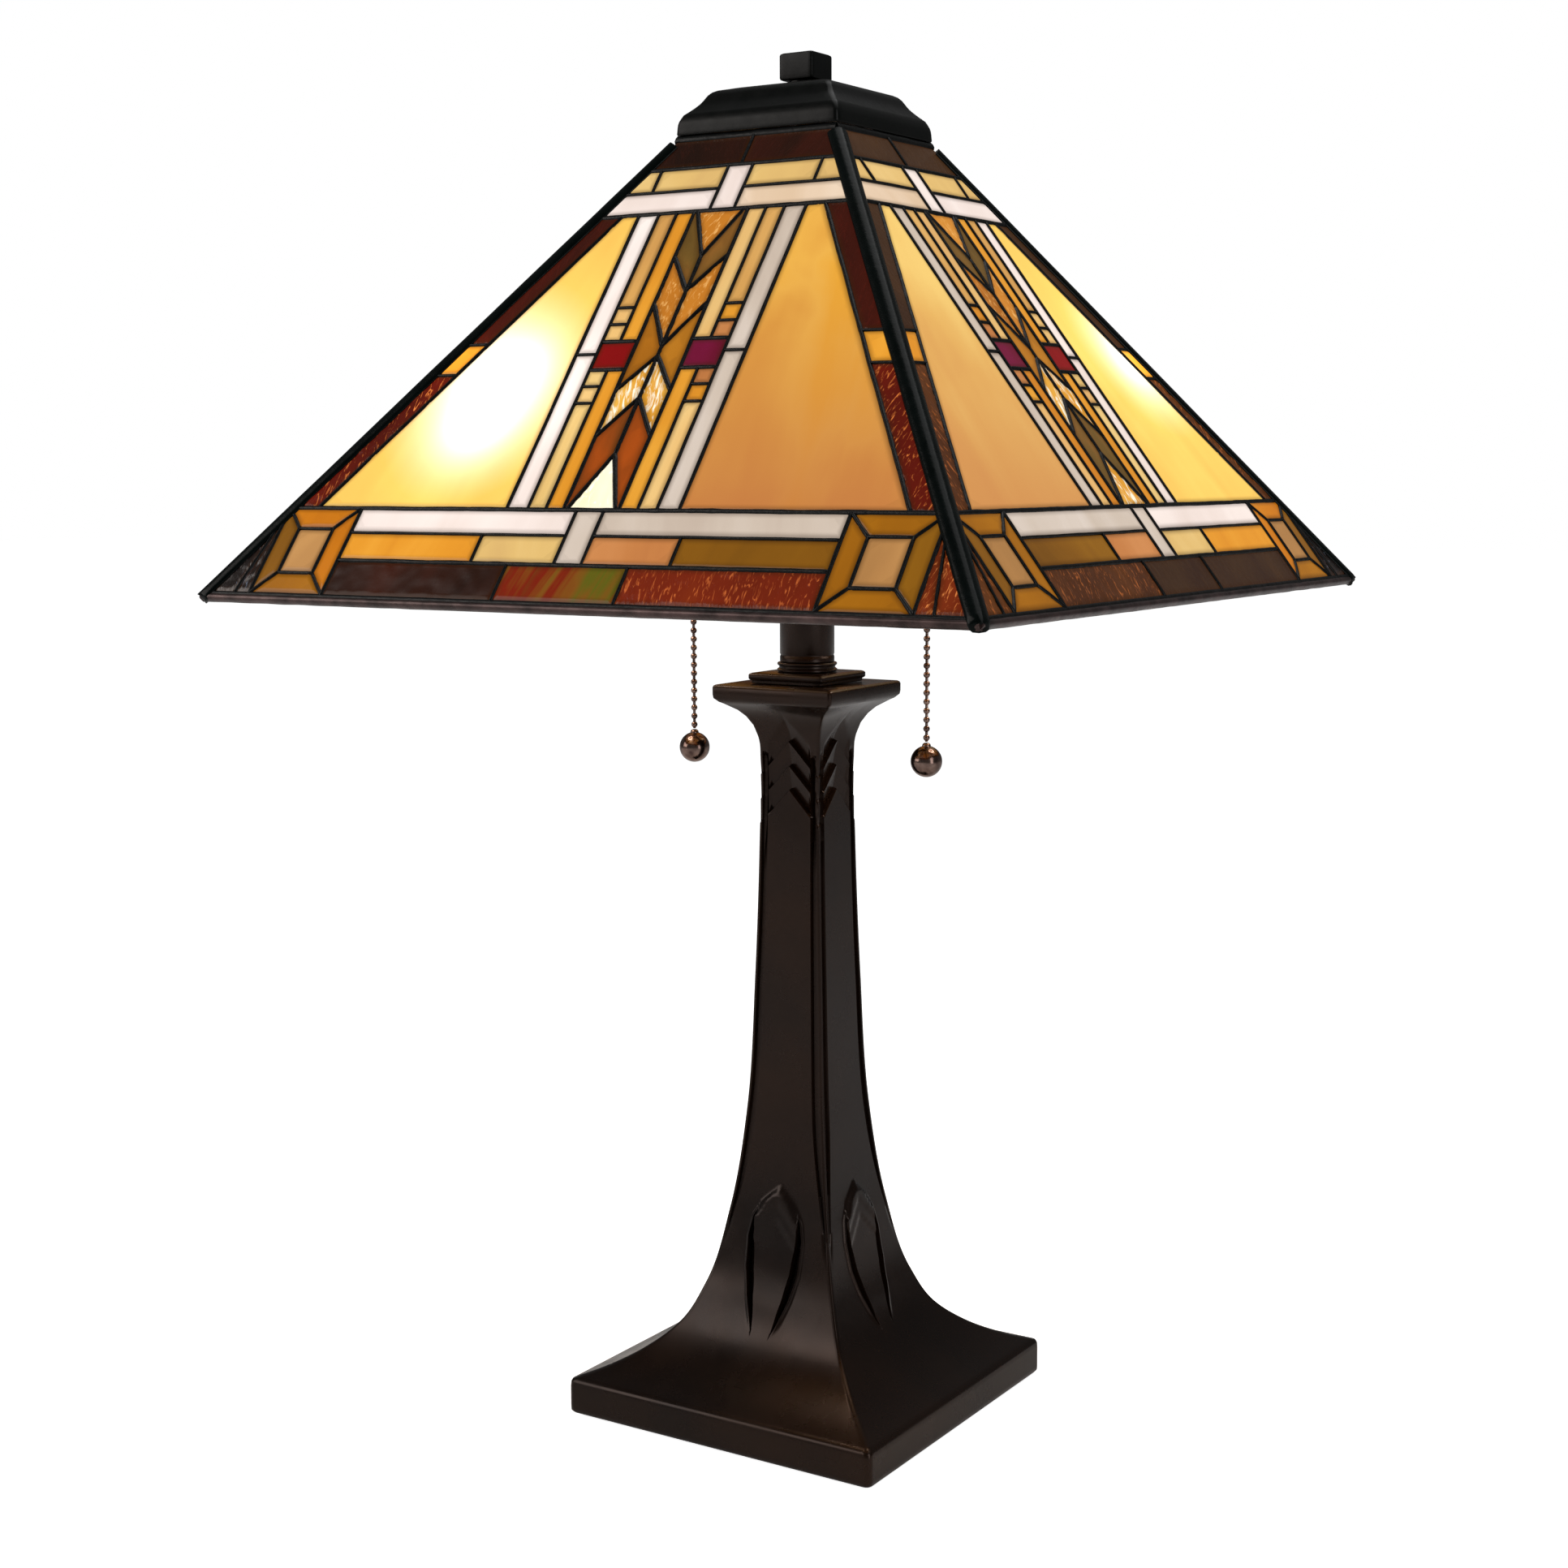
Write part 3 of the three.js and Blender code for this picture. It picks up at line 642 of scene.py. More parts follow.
def lay_side(lit):
    """The leading of one side. lit is -1 where its left half is nearer a bulb, and 1 where its right is."""
    lead = Leading()
    for sign in (1, -1):
        lead.sign = sign
        lead.dim = sign != lit
        half = keep_left([(0, BOTTOM_V), (RIM_HALF, BOTTOM_V), (RIM_HALF, TOP_V), (0, TOP_V)],
                         *hip_line(UNDER_CAME))
        low, shape = lead.level(half, MAIN_BOTTOM, 1.5)
        main, high = lead.level(shape, MAIN_TOP, 1.6)
        lay_lower(lead, low)
        lay_main(lead, main)
        lay_upper(lead, high)
    return lead


def keep_left(shape, a, b):
    """The part of a shape on the left of the line from a to b."""
    return cut(shape, a, (b[0] - a[0], b[1] - a[1]))[0]


def shrink(shape, by):
    """A convex anticlockwise shape with every edge moved inwards."""
    result = shape
    for a, b in zip(shape, shape[1:] + shape[:1]):
        length = math.hypot(b[0] - a[0], b[1] - a[1])
        if length > 1e-6:
            inward = (-(b[1] - a[1]) / length * by, (b[0] - a[0]) / length * by)
            result = keep_left(result, (a[0] + inward[0], a[1] + inward[1]), (b[0] + inward[0], b[1] + inward[1]))
    return result


def area_of(shape):
    return 0.5 * sum(a[0] * b[1] - b[0] * a[1] for a, b in zip(shape, shape[1:] + shape[:1]))


def inside_by(shape, point):
    """How far a point of a convex anticlockwise shape is from its nearest edge."""
    nearest = math.inf
    for a, b in zip(shape, shape[1:] + shape[:1]):
        length = math.dist(a, b)
        if length > 1e-6:
            nearest = min(nearest, ((b[0] - a[0]) * (point[1] - a[1]) - (b[1] - a[1]) * (point[0] - a[0])) / length)
    return max(0.0, nearest)


# Rows of points this far inside each edge of a piece, so that the painted shade towards the solder grades smoothly.
SEAM_SHADE_INSETS = (1.2, 2.6)


def glass_piece(shape, kind):
    """A flat grid cut to the shape's outline, in (u, v): its points, faces and border."""
    bm = bmesh.new()
    corners = [bm.verts.new((x, y, 0)) for x, y in shape]
    bm.faces.new(corners)
    pitch = 2.2 if kind in TEXTURED else 6.0
    for axis in (0, 1):
        low = min(p[axis] for p in shape)
        high = max(p[axis] for p in shape)
        count = max(1, round((high - low) / pitch))
        for i in range(1, count):
            place = [0.0, 0.0, 0.0]
            place[axis] = low + (high - low) * i / count
            normal = [0.0, 0.0, 0.0]
            normal[axis] = 1.0
            bmesh.ops.bisect_plane(bm, geom=bm.verts[:] + bm.edges[:] + bm.faces[:], dist=1e-4,
                                   plane_co=place, plane_no=normal)
    for inset in SEAM_SHADE_INSETS:
        for a, b in zip(shape, shape[1:] + shape[:1]):
            length = math.dist(a, b)
            if length > 1e-6:
                inward = Vector((-(b[1] - a[1]) / length, (b[0] - a[0]) / length, 0))
                bmesh.ops.bisect_plane(bm, geom=bm.verts[:] + bm.edges[:] + bm.faces[:], dist=1e-3,
                                       plane_co=Vector((*a, 0)) + inward * inset, plane_no=inward)
    bm.verts.index_update()
    points = [(v.co.x, v.co.y) for v in bm.verts]
    rims = {v.index for v in bm.verts if v.is_boundary}
    faces = [[v.index for v in f.verts] for f in bm.faces]
    borders = []
    for edge in bm.edges:
        if edge.is_boundary:
            loop = edge.link_loops[0]
            borders.append((loop.vert.index, loop.link_loop_next.vert.index))
    bm.free()
    return points, rims, faces, borders


def build_side(side, lead):
    """All the glass of one side as one object, and all its seams as another."""
    verts, faces, kinds, panes, edges = [], [], [], [], []
    for shape, kind in lead.pieces:
        if len(shape) < 3 or abs(area_of(shape)) < 4:
            continue
        if side in ("right", "left"):
            kind = EARTHY.get(kind, kind)
        shape = shrink(shape if area_of(shape) > 0 else shape[::-1], 0.45)
        points, rims, tops, borders = glass_piece(shape, kind)
        angle = draw.uniform(-0.35, 0.35)
        if kind in ("honey", "straw", "pale"):
            angle = math.copysign(STREAK_LEAN, sum(u for u, v in shape)) + 0.1 * angle
        seed = draw.uniform(0, 40)
        relief = 0.32 if kind in TEXTURED else 0.12
        scale = 0.28 if kind in TEXTURED else 0.045
        start = len(verts)
        for back in (0, 1):
            for i, (u, v) in enumerate(points):
                lift = relief * noise.noise(Vector((u * scale, v * scale, seed + back * 5)))
                edge = 0.35 if i in rims else 0.0
                depth = (GLASS_OUTSIDE + lift + edge) if not back else (GLASS_OUTSIDE + GLASS_THICKNESS - lift - edge)
                verts.append(on_face(side, u, v, depth))
                # Distance from the edge of the piece, up to 5 mm, which sets the painted shade towards the solder.
                edges.append(min(5.0, inside_by(shape, (u, v))))
                panes.append((MM * (u * math.cos(angle) + v * math.sin(angle)) + seed * 0.1,
                              MM * (v * math.cos(angle) - u * math.sin(angle)) + seed * 0.07,
                              seed * 0.1))
        n = len(points)
        material = GLASS_ORDER.index(kind)
        for face in tops:
            faces.append([start + i for i in face])
            faces.append([start + n + i for i in reversed(face)])
            kinds += [material, material]
        for a, b in borders:
            faces.append([start + b, start + a, start + n + a, start + n + b])
            kinds.append(material)
    glass_object = add_object("glass_pieces_" + side, verts, faces, [GLASS[k] for k in GLASS_ORDER], "shade",
                              slot="art_glass")
    glass_object.data.polygons.foreach_set("material_index", kinds)
    pane = glass_object.data.attributes.new("pane", "FLOAT_VECTOR", "POINT")
    pane.data.foreach_set("vector", [c for p in panes for c in p])
    # The edge attribute carries that distance to the glass materials for their painted shade.
    glass_object.data.attributes.new("edge", "FLOAT", "POINT").data.foreach_set("value", edges)
    tidy_normals(glass_object, 50)
    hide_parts("glass_panel_" + side)
    seams = merge([seam_bead(side, *seam) for seam in lead.seams])
    seam_object = add_object("solder_seams_" + side, *seams, SOLDER, "shade", slot="solder")
    tidy_normals(seam_object)


def seam_bead(side, start, end, half):
    """A hand-laid bead of solder between two points, proud of the glass on both faces."""
    length = math.hypot(end[0] - start[0], end[1] - start[1])
    along = ((end[0] - start[0]) / length, (end[1] - start[1]) / length)
    across = (-along[1], along[0])
    around = 10
    middle = GLASS_OUTSIDE + GLASS_THICKNESS / 2
    tall = GLASS_THICKNESS / 2 + 0.75
    steps = max(3, round(length / 2.6))
    seed = draw.uniform(0, 90)
    verts, faces = [], []
    stations = [(-0.5, 0.55), (0.0, 0.92)]
    stations += [(length * i / steps, 1.0) for i in range(1, steps)]
    stations += [(length, 0.92), (length + 0.5, 0.55)]
    for s, size in stations:
        lump = 1 + 0.16 * noise.noise(Vector((s * 0.16, seed, 0))) + 0.07 * noise.noise(Vector((s * 0.6, seed, 3)))
        drift = 0.22 * noise.noise(Vector((s * 0.05, seed, 7)))
        for k in range(around):
            a = 2 * math.pi * k / around
            sideways = half * size * lump * math.cos(a) + drift
            depth = middle + (tall * (0.6 + 0.4 * size) + 0.3 * (lump - 1)) * math.sin(a)
            u = start[0] + along[0] * s + across[0] * sideways
            v = start[1] + along[1] * s + across[1] * sideways
            verts.append(on_face(side, u, v, depth))
    rows = len(stations)
    for i in range(rows - 1):
        for k in range(around):
            j = (k + 1) % around
            faces.append([i * around + k, i * around + j, (i + 1) * around + j, (i + 1) * around + k])
    faces.append(list(range(around)))
    faces.append([(rows - 1) * around + k for k in range(around)])
    return verts, faces


def bar(side, start, end, half, tall, middle, around=12, pitch=3.0, lumps=0.08):
    """A smooth came along a side: an oval bar, half wide each way and tall each way into the depth."""
    length = math.hypot(end[0] - start[0], end[1] - start[1])
    along = ((end[0] - start[0]) / length, (end[1] - start[1]) / length)
    across = (-along[1], along[0])
    seed = draw.uniform(0, 90)
    verts, faces = [], []
    steps = round(length / pitch)
    for i in range(steps + 1):
        s = length * i / steps
        size = 1 + lumps * noise.noise(Vector((s * 0.09, seed, 1)))
        for k in range(around):
            a = 2 * math.pi * k / around
            sideways = half * size * math.copysign(abs(math.cos(a)) ** 0.7, math.cos(a))
            depth = middle + tall * size * math.copysign(abs(math.sin(a)) ** 0.7, math.sin(a))
            u = start[0] + along[0] * s + across[0] * sideways
            v = start[1] + along[1] * s + across[1] * sideways
            verts.append(on_face(side, u, v, depth))
    return stitched(verts, around, steps + 1)


def stitched(verts, around, rows):
    """Faces of a closed tube made of rows of points, with both ends closed."""
    faces = []
    for i in range(rows - 1):
        for k in range(around):
            j = (k + 1) % around
            faces.append([i * around + k, i * around + j, (i + 1) * around + j, (i + 1) * around + k])
    faces.append(list(range(around)))
    faces.append([(rows - 1) * around + k for k in range(around)])
    return verts, faces


# Section of a hip came: how far to the side of the hip and how far inside it, in millimetres
HIP_SECTION = ((-4.6, 4.6), (-4.7, 3.5), (-4.0, 2.4), (-2.5, 1.2), (-1.1, 0.5), (0, 0.3), (1.1, 0.5), (2.5, 1.2),
               (4.0, 2.4), (4.7, 3.5), (4.6, 4.6), (2.6, 5.8), (0, 6.3), (-2.6, 5.8))


def hip_came(side):
    """The heavy soldered came where two sides meet, to the right of this side."""
    low = Vector((RIM_HALF, -RIM_HALF, RIM_HEIGHT))
    high = Vector((TOP_HALF, -TOP_HALF, TOP_HEIGHT))
    along = (high - low).normalized()
    sideways = Vector((1, 1, 0)).normalized()
    inwards = sideways.cross(along).normalized()
    if inwards.dot(Vector((-1, 1, 0))) < 0:
        inwards = -inwards
    turn = Matrix.Rotation(SIDES.index(side) * math.pi / 2, 3, "Z")
    length = (high - low).length
    steps = round(length / 2.5)
    seed = draw.uniform(0, 90)
    verts = []
    for i in range(steps + 1):
        s = length * i / steps
        for k, (off, deep) in enumerate(HIP_SECTION):
            lump = 0.14 * noise.noise(Vector((s * 0.03, k * 0.35, seed)))
            point = low + along * s + sideways * off * (1 + 0.3 * lump) + inwards * (deep + 0.8 * lump)
            point.x = min(point.x, RIM_HALF)
            point.y = max(point.y, -RIM_HALF)
            verts.append(turn @ point)
    return stitched(verts, len(HIP_SECTION), steps + 1)


def build_shade():
    for side in SIDES:
        build_side(side, lay_side(-1 if side in ("front", "back") else 1))
        came = add_object("hip_solder_" + side, *hip_came(side), HIP_LEAD, "shade", slot="solder")
        tidy_normals(came, 60)
        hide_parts("hip_came_" + side)
        reach = hip_at(0) - 1.5
        came = add_object("rim_solder_" + side, *bar(side, (-reach, 0.1), (reach, 0.1), 1.6, 2.3, 2.9),
                          RIM_METAL, "shade", slot="solder")
        bead = add_object("rim_bead_" + side, *bar(side, (-reach + 1.5, 1.9), (reach - 1.5, 1.9), 1.3, 1.9, 2.5),
                          SOLDER, "shade", slot="solder")
        tidy_normals(bead, 60)
        tidy_normals(came, 60)
        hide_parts("rim_came_" + side)
        reach = hip_at(263) - 1.5
        came = add_object("top_solder_" + side, *bar(side, (-reach, 263.4), (reach, 263.4), 2.4, 2.8, 3.2),
                          SOLDER, "shade", slot="solder")
        tidy_normals(came, 60)
        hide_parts("top_came_" + side)


build_shade()


# ---- Square turned and cast pieces ----

def square_ring(half, z, corner, per_side=10, steps=4):
    """Points round a square of half width `half`, whose corners are rounded."""
    points = []
    straight = half - corner
    for quarter in range(4):
        turn = Matrix.Rotation(quarter * math.pi / 2, 3, "Z")
        for i in range(per_side):
            points.append(turn @ Vector((-straight + 2 * straight * i / per_side, -half, z)))
        for i in range(steps):
            a = math.radians(-90 + 90 * i / steps)
            points.append(turn @ Vector((straight + corner * math.cos(a), -straight + corner * math.sin(a), z)))
    return points


def square_solid(levels, per_side=10, steps=4):
    """A closed solid from (half width, height, corner radius) levels, from the bottom up."""
    verts = []
    for half, z, corner in levels:
        verts += square_ring(half, z, corner, per_side, steps)
    around = 4 * (per_side + steps)
    return stitched(verts, around, len(levels))


def smooth_curve(points, step):
    """Points about a step apart on a smooth curve through the given ones."""
    chords = [math.dist(a, b) for a, b in zip(points, points[1:])]
    slopes = [((b[0] - a[0]) / c, (b[1] - a[1]) / c) for a, b, c in zip(points, points[1:], chords)]
    tangents = [slopes[0]]
    for s0, s1, c0, c1 in zip(slopes, slopes[1:], chords, chords[1:]):
        tangents.append(tuple((s0[k] * c1 + s1[k] * c0) / (c0 + c1) for k in (0, 1)))
    tangents.append(slopes[-1])
    result = [points[0]]
    for a, b, c, ta, tb in zip(points, points[1:], chords, tangents, tangents[1:]):
        count = max(1, round(c / step))
        for i in range(1, count + 1):
            t = i / count
            h_b = t * t * (3 - 2 * t)
            result.append(tuple((1 - h_b) * a[k] + h_b * b[k] + c * (t - 1) ** 2 * t * ta[k]
                                + c * t * t * (t - 1) * tb[k] for k in (0, 1)))
    return result


def smoothstep(low, high, value):
    t = max(0.0, min(1.0, (value - low) / (high - low)))
    return t * t * (3 - 2 * t)


# ---- Base: the cast column with its relief ----

CAPITAL_TOP = 363.2
FOOT_EDGE = ((83.8, 1.5), (85.8, 1.9), (86.7, 3.0), (86.8, 5.0), (86.8, 15.4), (86.6, 17.7), (85.9, 19.0))
COLUMN = ((85.9, 19.0), (74.8, 23.4), (59.3, 32.5), (46.2, 45.3), (37.6, 63.3), (28.7, 101), (22.3, 152),
          (19.2, 218), (17.4, 283), (16.9, 325))
CAPITAL = ((16.9, 325), (17.3, 335.5), (20.3, 345), (25.2, 351), (32.0, 355))
ABACUS = ((32.0, 355), (32.9, 355.5), (33.5, 356.8), (33.7, 358.4), (33.7, 361.8), (33.4, 362.7), (32.6, CAPITAL_TOP))
RIB = 1.6                 # how far the rib on each corner reaches along the face
GROOVE_TOP, GROOVE_FULL, GROOVE_END = 331.0, 150.0, 76.0
CHEVRONS = (335.5, 323.8, 312.1)
CHEVRON_SLOPE = 1.04
CHEVRON_SCOOP = 12.0      # how far above its ledge a hollow ends
CHEVRON_DEPTH = 2.6
CHEVRON_HALF = 11.5       # beyond this the chevrons only notch the corner ribs
CHEVRON_REACH = 17.0
LEAF = ((0.0, 115.6), (9.0, 108.0), (14.5, 100.0), (16.5, 90.0), (16.0, 75.0), (13.0, 62.0), (8.5, 50.0), (5.0, 42.0))
LEAF_ARCHES = (107.5, 99.5)
SLIT_LOW, SLIT_HIGH, SLIT_WALL = 45.0, 103.0, 0.9


def groove_edge(z):
    """Where the groove beside the corner rib ends, from the corner."""
    if z > GROOVE_FULL:
        return 5.9 + (4.5 - 5.9) * (z - GROOVE_FULL) / (313 - GROOVE_FULL)
    return max(RIB + 0.4, 5.9 - 3.9 * smoothstep(GROOVE_FULL, GROOVE_END, z)) if z > GROOVE_END else RIB + 0.4


def leaf_half(z):
    """Half width of the leaf on the foot at height z, or 0 outside it."""
    for (w1, z1), (w2, z2) in zip(LEAF, LEAF[1:]):
        if z2 <= z <= z1:
            return w1 + (w2 - w1) * (z1 - z) / (z1 - z2)
    return 0.0


def chevron_relief(u, z):
    """Three chevrons, one above the other: each is a ledge with a hollow above it."""
    depth = 0.0
    ends = 0.25 + 0.75 * smoothstep(CHEVRON_HALF + 1, CHEVRON_HALF - 1, u)
    for top in CHEVRONS:
        above = z - (top - CHEVRON_SLOPE * u)
        if 0 < above < CHEVRON_SCOOP:
            slope = 1 - above / CHEVRON_SCOOP
            depth = max(depth, CHEVRON_DEPTH * ends * smoothstep(0.0, 0.5, above) * slope)
    return depth


def leaf_slit(z):
    """Where the middle of the slit beside the leaf is, and half its width, at height z."""
    wide = 2.3 * math.sin(math.pi * max(0.0, min(1.0, (z - SLIT_LOW) / (SLIT_HIGH - SLIT_LOW)))) ** 0.8
    return leaf_half(z) - 1.0 - wide, wide


def leaf_relief(u, z):
    """A raised leaf with stepped arches at its top and a deep slit along each edge."""
    half = leaf_half(z)
    if not half:
        return 0.0
    depth = -0.9 * smoothstep(half + 0.4, half - 0.4, u) * smoothstep(44, 60, z)
    middle, wide = leaf_slit(z)
    if wide > 0.1:
        depth += 4.0 * smoothstep(wide, max(0.0, wide - SLIT_WALL), abs(u - middle)) * min(1, wide / 1.4)
    for arch in LEAF_ARCHES:
        edge = arch - 1.05 * u
        if u < half - 2:
            depth -= 0.5 * smoothstep(edge, edge + 0.7, z)
    return depth


def relief(u, z, from_corner):
    """How deep the cast relief is below the plain face of the column, in millimetres."""
    depth = 0.0
    edge = groove_edge(z)
    if GROOVE_END < z < GROOVE_TOP:
        fade = smoothstep(GROOVE_END, GROOVE_END + 40, z) * smoothstep(GROOVE_TOP, GROOVE_TOP - 5, z)
        inside = smoothstep(RIB - 0.1, RIB + 0.5, from_corner) * smoothstep(edge + 0.3, edge - 0.5, from_corner)
        depth += (2.0 + 1.5 * smoothstep(270, 300, z)) * fade * inside
    if 285 < z < 349:
        depth = max(depth, chevron_relief(abs(u), z))
    if 40 < z < 117:
        depth += leaf_relief(abs(u), z)
    return depth


def column_rows():
    """The outline of the casting from its underside up, in finer steps where the relief is."""
    rows = list(FOOT_EDGE)
    curve = smooth_curve(COLUMN + CAPITAL[1:], 0.25)
    last = rows[-1]
    for point in curve[1:]:
        z = point[1]
        on_edge = any(abs(z - top - 0.3) < 0.65 for top in CHEVRONS)
        fine = 40 < z < 118 or 290 < z < 348
        if math.dist(point, last) > (0.28 if on_edge else 1.0 if fine else 2.8):
            rows.append(point)
            last = point
    rows[-1] = CAPITAL[-1]
    return rows + list(ABACUS[1:])


def half_at(rows, z):
    """Half width of the plain outline at height z."""
    for (w1, z1), (w2, z2) in zip(rows, rows[1:]):
        if z1 <= z <= z2 and z2 > z1:
            return w1 + (w2 - w1) * (z - z1) / (z2 - z1)
    return rows[-1][0]


def inner_offsets(z, reach, count):
    """Places across the middle of a face, out to reach. Near the leaf they run along its slits."""
    even = [reach * k / count for k in range(count + 1)]
    blend = smoothstep(150, 120, z) * smoothstep(30, 40, z)
    if not blend:
        return even
    level = max(SLIT_LOW + 0.5, min(SLIT_HIGH - 0.5, z))
    middle, wide = leaf_slit(level)
    wide = max(wide, 0.3)
    wall = min(SLIT_WALL, wide * 0.6)
    half = leaf_half(level)
    marks = ((0, 0.0), (8, middle - wide - 0.3), (9, middle - wide), (11, middle - wide + wall),
             (13, middle + wide - wall), (15, middle + wide), (16, half - 0.45), (18, half + 0.45), (count, reach))
    bent = []
    for (k0, u0), (k1, u1) in zip(marks, marks[1:]):
        bent += [u0 + (u1 - u0) * (k - k0) / (k1 - k0) for k in range(k0, k1)]
    bent.append(reach)
    return [e + (b - e) * blend for e, b in zip(even, bent)]


def build_column():
    rows = column_rows()
    fine, coarse = 24, 6
    verts = []
    inner_reach = 18.5
    for i, (half, z_row) in enumerate(rows):
        before, after = rows[max(0, i - 1)], rows[min(len(rows) - 1, i + 1)]
        dw, dz = after[0] - before[0], after[1] - before[1]
        length = math.hypot(dw, dz)
        normal = (dz / length, -dw / length)
        # Round the chevrons the rows follow their slope, so that the ledges come out clean
        shear = CHEVRON_SLOPE * smoothstep(255, 308, z_row) * smoothstep(358, 338, z_row)
        if shear:
            half = half_at(rows, z_row - shear * CHEVRON_REACH)
        z_end = z_row - shear * CHEVRON_REACH
        rounding = 3.0 if z_row < 18.8 else (0.7 if z_row < 354 else 1.2)
        rounding += 2.0 * smoothstep(60, 20, z_row) if z_row >= 18.8 else 0
        edge = groove_edge(z_end)
        corner = [rounding * 0.293, rounding * 0.6, max(rounding, RIB - 0.15)]
        corner += [max(rounding, RIB) + 0.4, (max(rounding, RIB) + max(edge, rounding + 1)) / 2 + 0.2,
                   max(edge, rounding + 1) - 0.35, max(edge, rounding + 1) + 0.3]
        plain = half - corner[-1]
        reach = min(inner_reach, plain - 1.2)
        offsets = inner_offsets(z_row, reach, fine)
        offsets += [reach + (plain - reach) * k / coarse for k in range(1, coarse)]
        offsets += [half - s for s in reversed(corner)]
        line = [-u for u in reversed(offsets[1:])] + offsets
        for quarter in range(4):
            turn = Matrix.Rotation(quarter * math.pi / 2, 3, "Z")
            for u in line[:-1]:
                s = half - abs(u)
                z = z_row - shear * min(abs(u), CHEVRON_REACH)
                plain_half = half_at(rows, z) if shear else half
                curve = rounding - math.sqrt(max(0.0, rounding ** 2 - max(0.0, rounding - s) ** 2))
                depth = relief(u, z, s)
                w = plain_half - curve - depth * normal[0]
                verts.append(turn @ Vector((u, -w, z - depth * normal[1])))
    around = len(verts) // len(rows)
    roof = [Vector((p.x * 0.996, p.y * 0.996, 3.1)) for p in verts[:around]]
    verts, faces = stitched(roof + verts, around, len(rows) + 1)
    column = add_object("cast_column", verts, faces, BRONZE, "base", slot="cast_bronze")
    tidy_normals(column, 55)
    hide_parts("base_casting")


build_column()


# ---- Step plate, collar and neck ----

def turned(name, profile, material, body, node, slot, segments=64, angle=35, place=None):
    """A piece turned about Z, from its axis at the bottom to its axis at the top."""
    verts, faces = lathe(profile, segments)
    if place is not None:
        verts = moved(verts, place)
    piece = add_object(name, verts, faces, material, body, slot=slot)
    tidy_normals(piece, angle)
    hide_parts(node)
    return piece


def square_piece(name, levels, material, body, node, slot, angle=35):
    verts, faces = square_solid(levels)
    piece = add_object(name, verts, faces, material, body, slot=slot)
    tidy_normals(piece, angle)
    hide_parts(node)
    return piece


STEP = ((19.6, 363.5, 0.8), (19.9, 363.8, 1.0), (19.9, 364.9, 1.0), (20.7, 365.4, 1.0), (21.0, 365.9, 1.0),
        (21.0, 367.6, 1.0), (20.6, 368.2, 0.9), (19.6, 368.6, 0.8))
COLLAR = ((0, 368.9), (14.2, 368.9), (14.7, 369.3), (14.7, 370.0), (14.2, 370.4), (13.7, 370.7), (13.7, 371.6),
          (14.2, 371.9), (14.6, 372.3), (14.6, 372.9), (14.2, 373.3), (0, 373.3))
NECK_TOP = 435.7
NECK = ((0, 373.6), (13.0, 373.6), (13.3, 374.0), (13.3, 376.2), (13.05, 376.6), (13.05, 377.2), (13.3, 377.6),
        (13.3, 404), (13.3, NECK_TOP - 1.2), (12.9, NECK_TOP), (0, NECK_TOP))
square_piece("cast_step", STEP, BRONZE, "base", "step_plate", "cast_bronze")
turned("turned_collar", COLLAR, BRONZE, "base", "neck_collar", "cast_bronze")
turned("turned_neck", NECK, BRONZE, "base", "neck_tube", "cast_bronze")


# ---- Cap and finial ----

CAP_OUTLINE = ((44.5, 621.8), (43.8, 628.0), (42.2, 631.2), (39.6, 633.5), (36.6, 636.6), (34.0, 640.6),
               (32.6, 642.0), (27.0, 643.7), (9.8, 646.8))


def build_cap():
    """The pressed cap on top of the shade, an open shell of one thickness."""
    outer = [(44.3, 621.8)] + smooth_curve(((44.5, 622.4),) + CAP_OUTLINE[1:3], 1.5)
    outer += smooth_curve(CAP_OUTLINE[2:6], 1.2)[1:] + smooth_curve(CAP_OUTLINE[5:], 2.0)[1:]
    levels = []
    for half, z in outer:
        levels.append((half, z, 2.2 if z < 641 else max(1.2, half * 0.07)))
    around = 4 * (24 + 5)
    verts = []
    for half, z, corner in levels:
        verts += square_ring(half, z, corner, 24, 5)
    hole = [Vector((5.4 * math.cos(math.radians(-135 + 360 * k / around)),
                    5.4 * math.sin(math.radians(-135 + 360 * k / around)), 646.8)) for k in range(around)]
    rim = verts[:around]
    rows = len(levels)
    verts += hole
    verts += [Vector((p.x, p.y, 645.4)) for p in hole]
    inner = [(30.6, 640.2), (36.8, 633.6), (40.8, 629.6), (42.6, 625.0), (42.9, 621.8)]
    for half, z in inner:
        verts += square_ring(half, z, 1.4, 24, 5)
    total = rows + 2 + len(inner)
    faces = []
    for i in range(total):
        j = (i + 1) % total
        for k in range(around):
            n = (k + 1) % around
            faces.append([i * around + k, i * around + n, j * around + n, j * around + k])
    cap = add_object("pressed_cap", verts, faces, PATINA, "shade", slot="dark_patina")
    tidy_normals(cap, 30)
    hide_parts("cap")


build_cap()
square_piece("cast_finial", ((8.2, 648.3, 1.2), (9.0, 648.7, 1.2), (9.2, 649.4, 1.0), (9.2, 659.6, 1.0),
                             (9.0, 660.3, 1.2), (8.2, 660.8, 1.2)), PATINA, "finial", "finial", "dark_patina")
turned("turned_finial_washer", ((0, 647.1), (8.3, 647.1), (8.6, 647.4), (8.6, 647.8), (8.3, 648.0), (0, 648.0)),
       PATINA, "finial_washer", "finial_washer", "dark_patina")


# ---- Bead chains and their balls ----

BEAD, LINK, PITCH = 1.6, 0.7, 4.3
CHAIN_AT = (64.716, 3.637)
CHAIN_TOP = CLUSTER_HEIGHT
RUNS = (("upper", "top", 0, 3), ("middle", "link", 3, 2), ("lower", "pull", 5, 21))
PULL_CENTRE, PULL_RADIUS = 328.0, 7.6


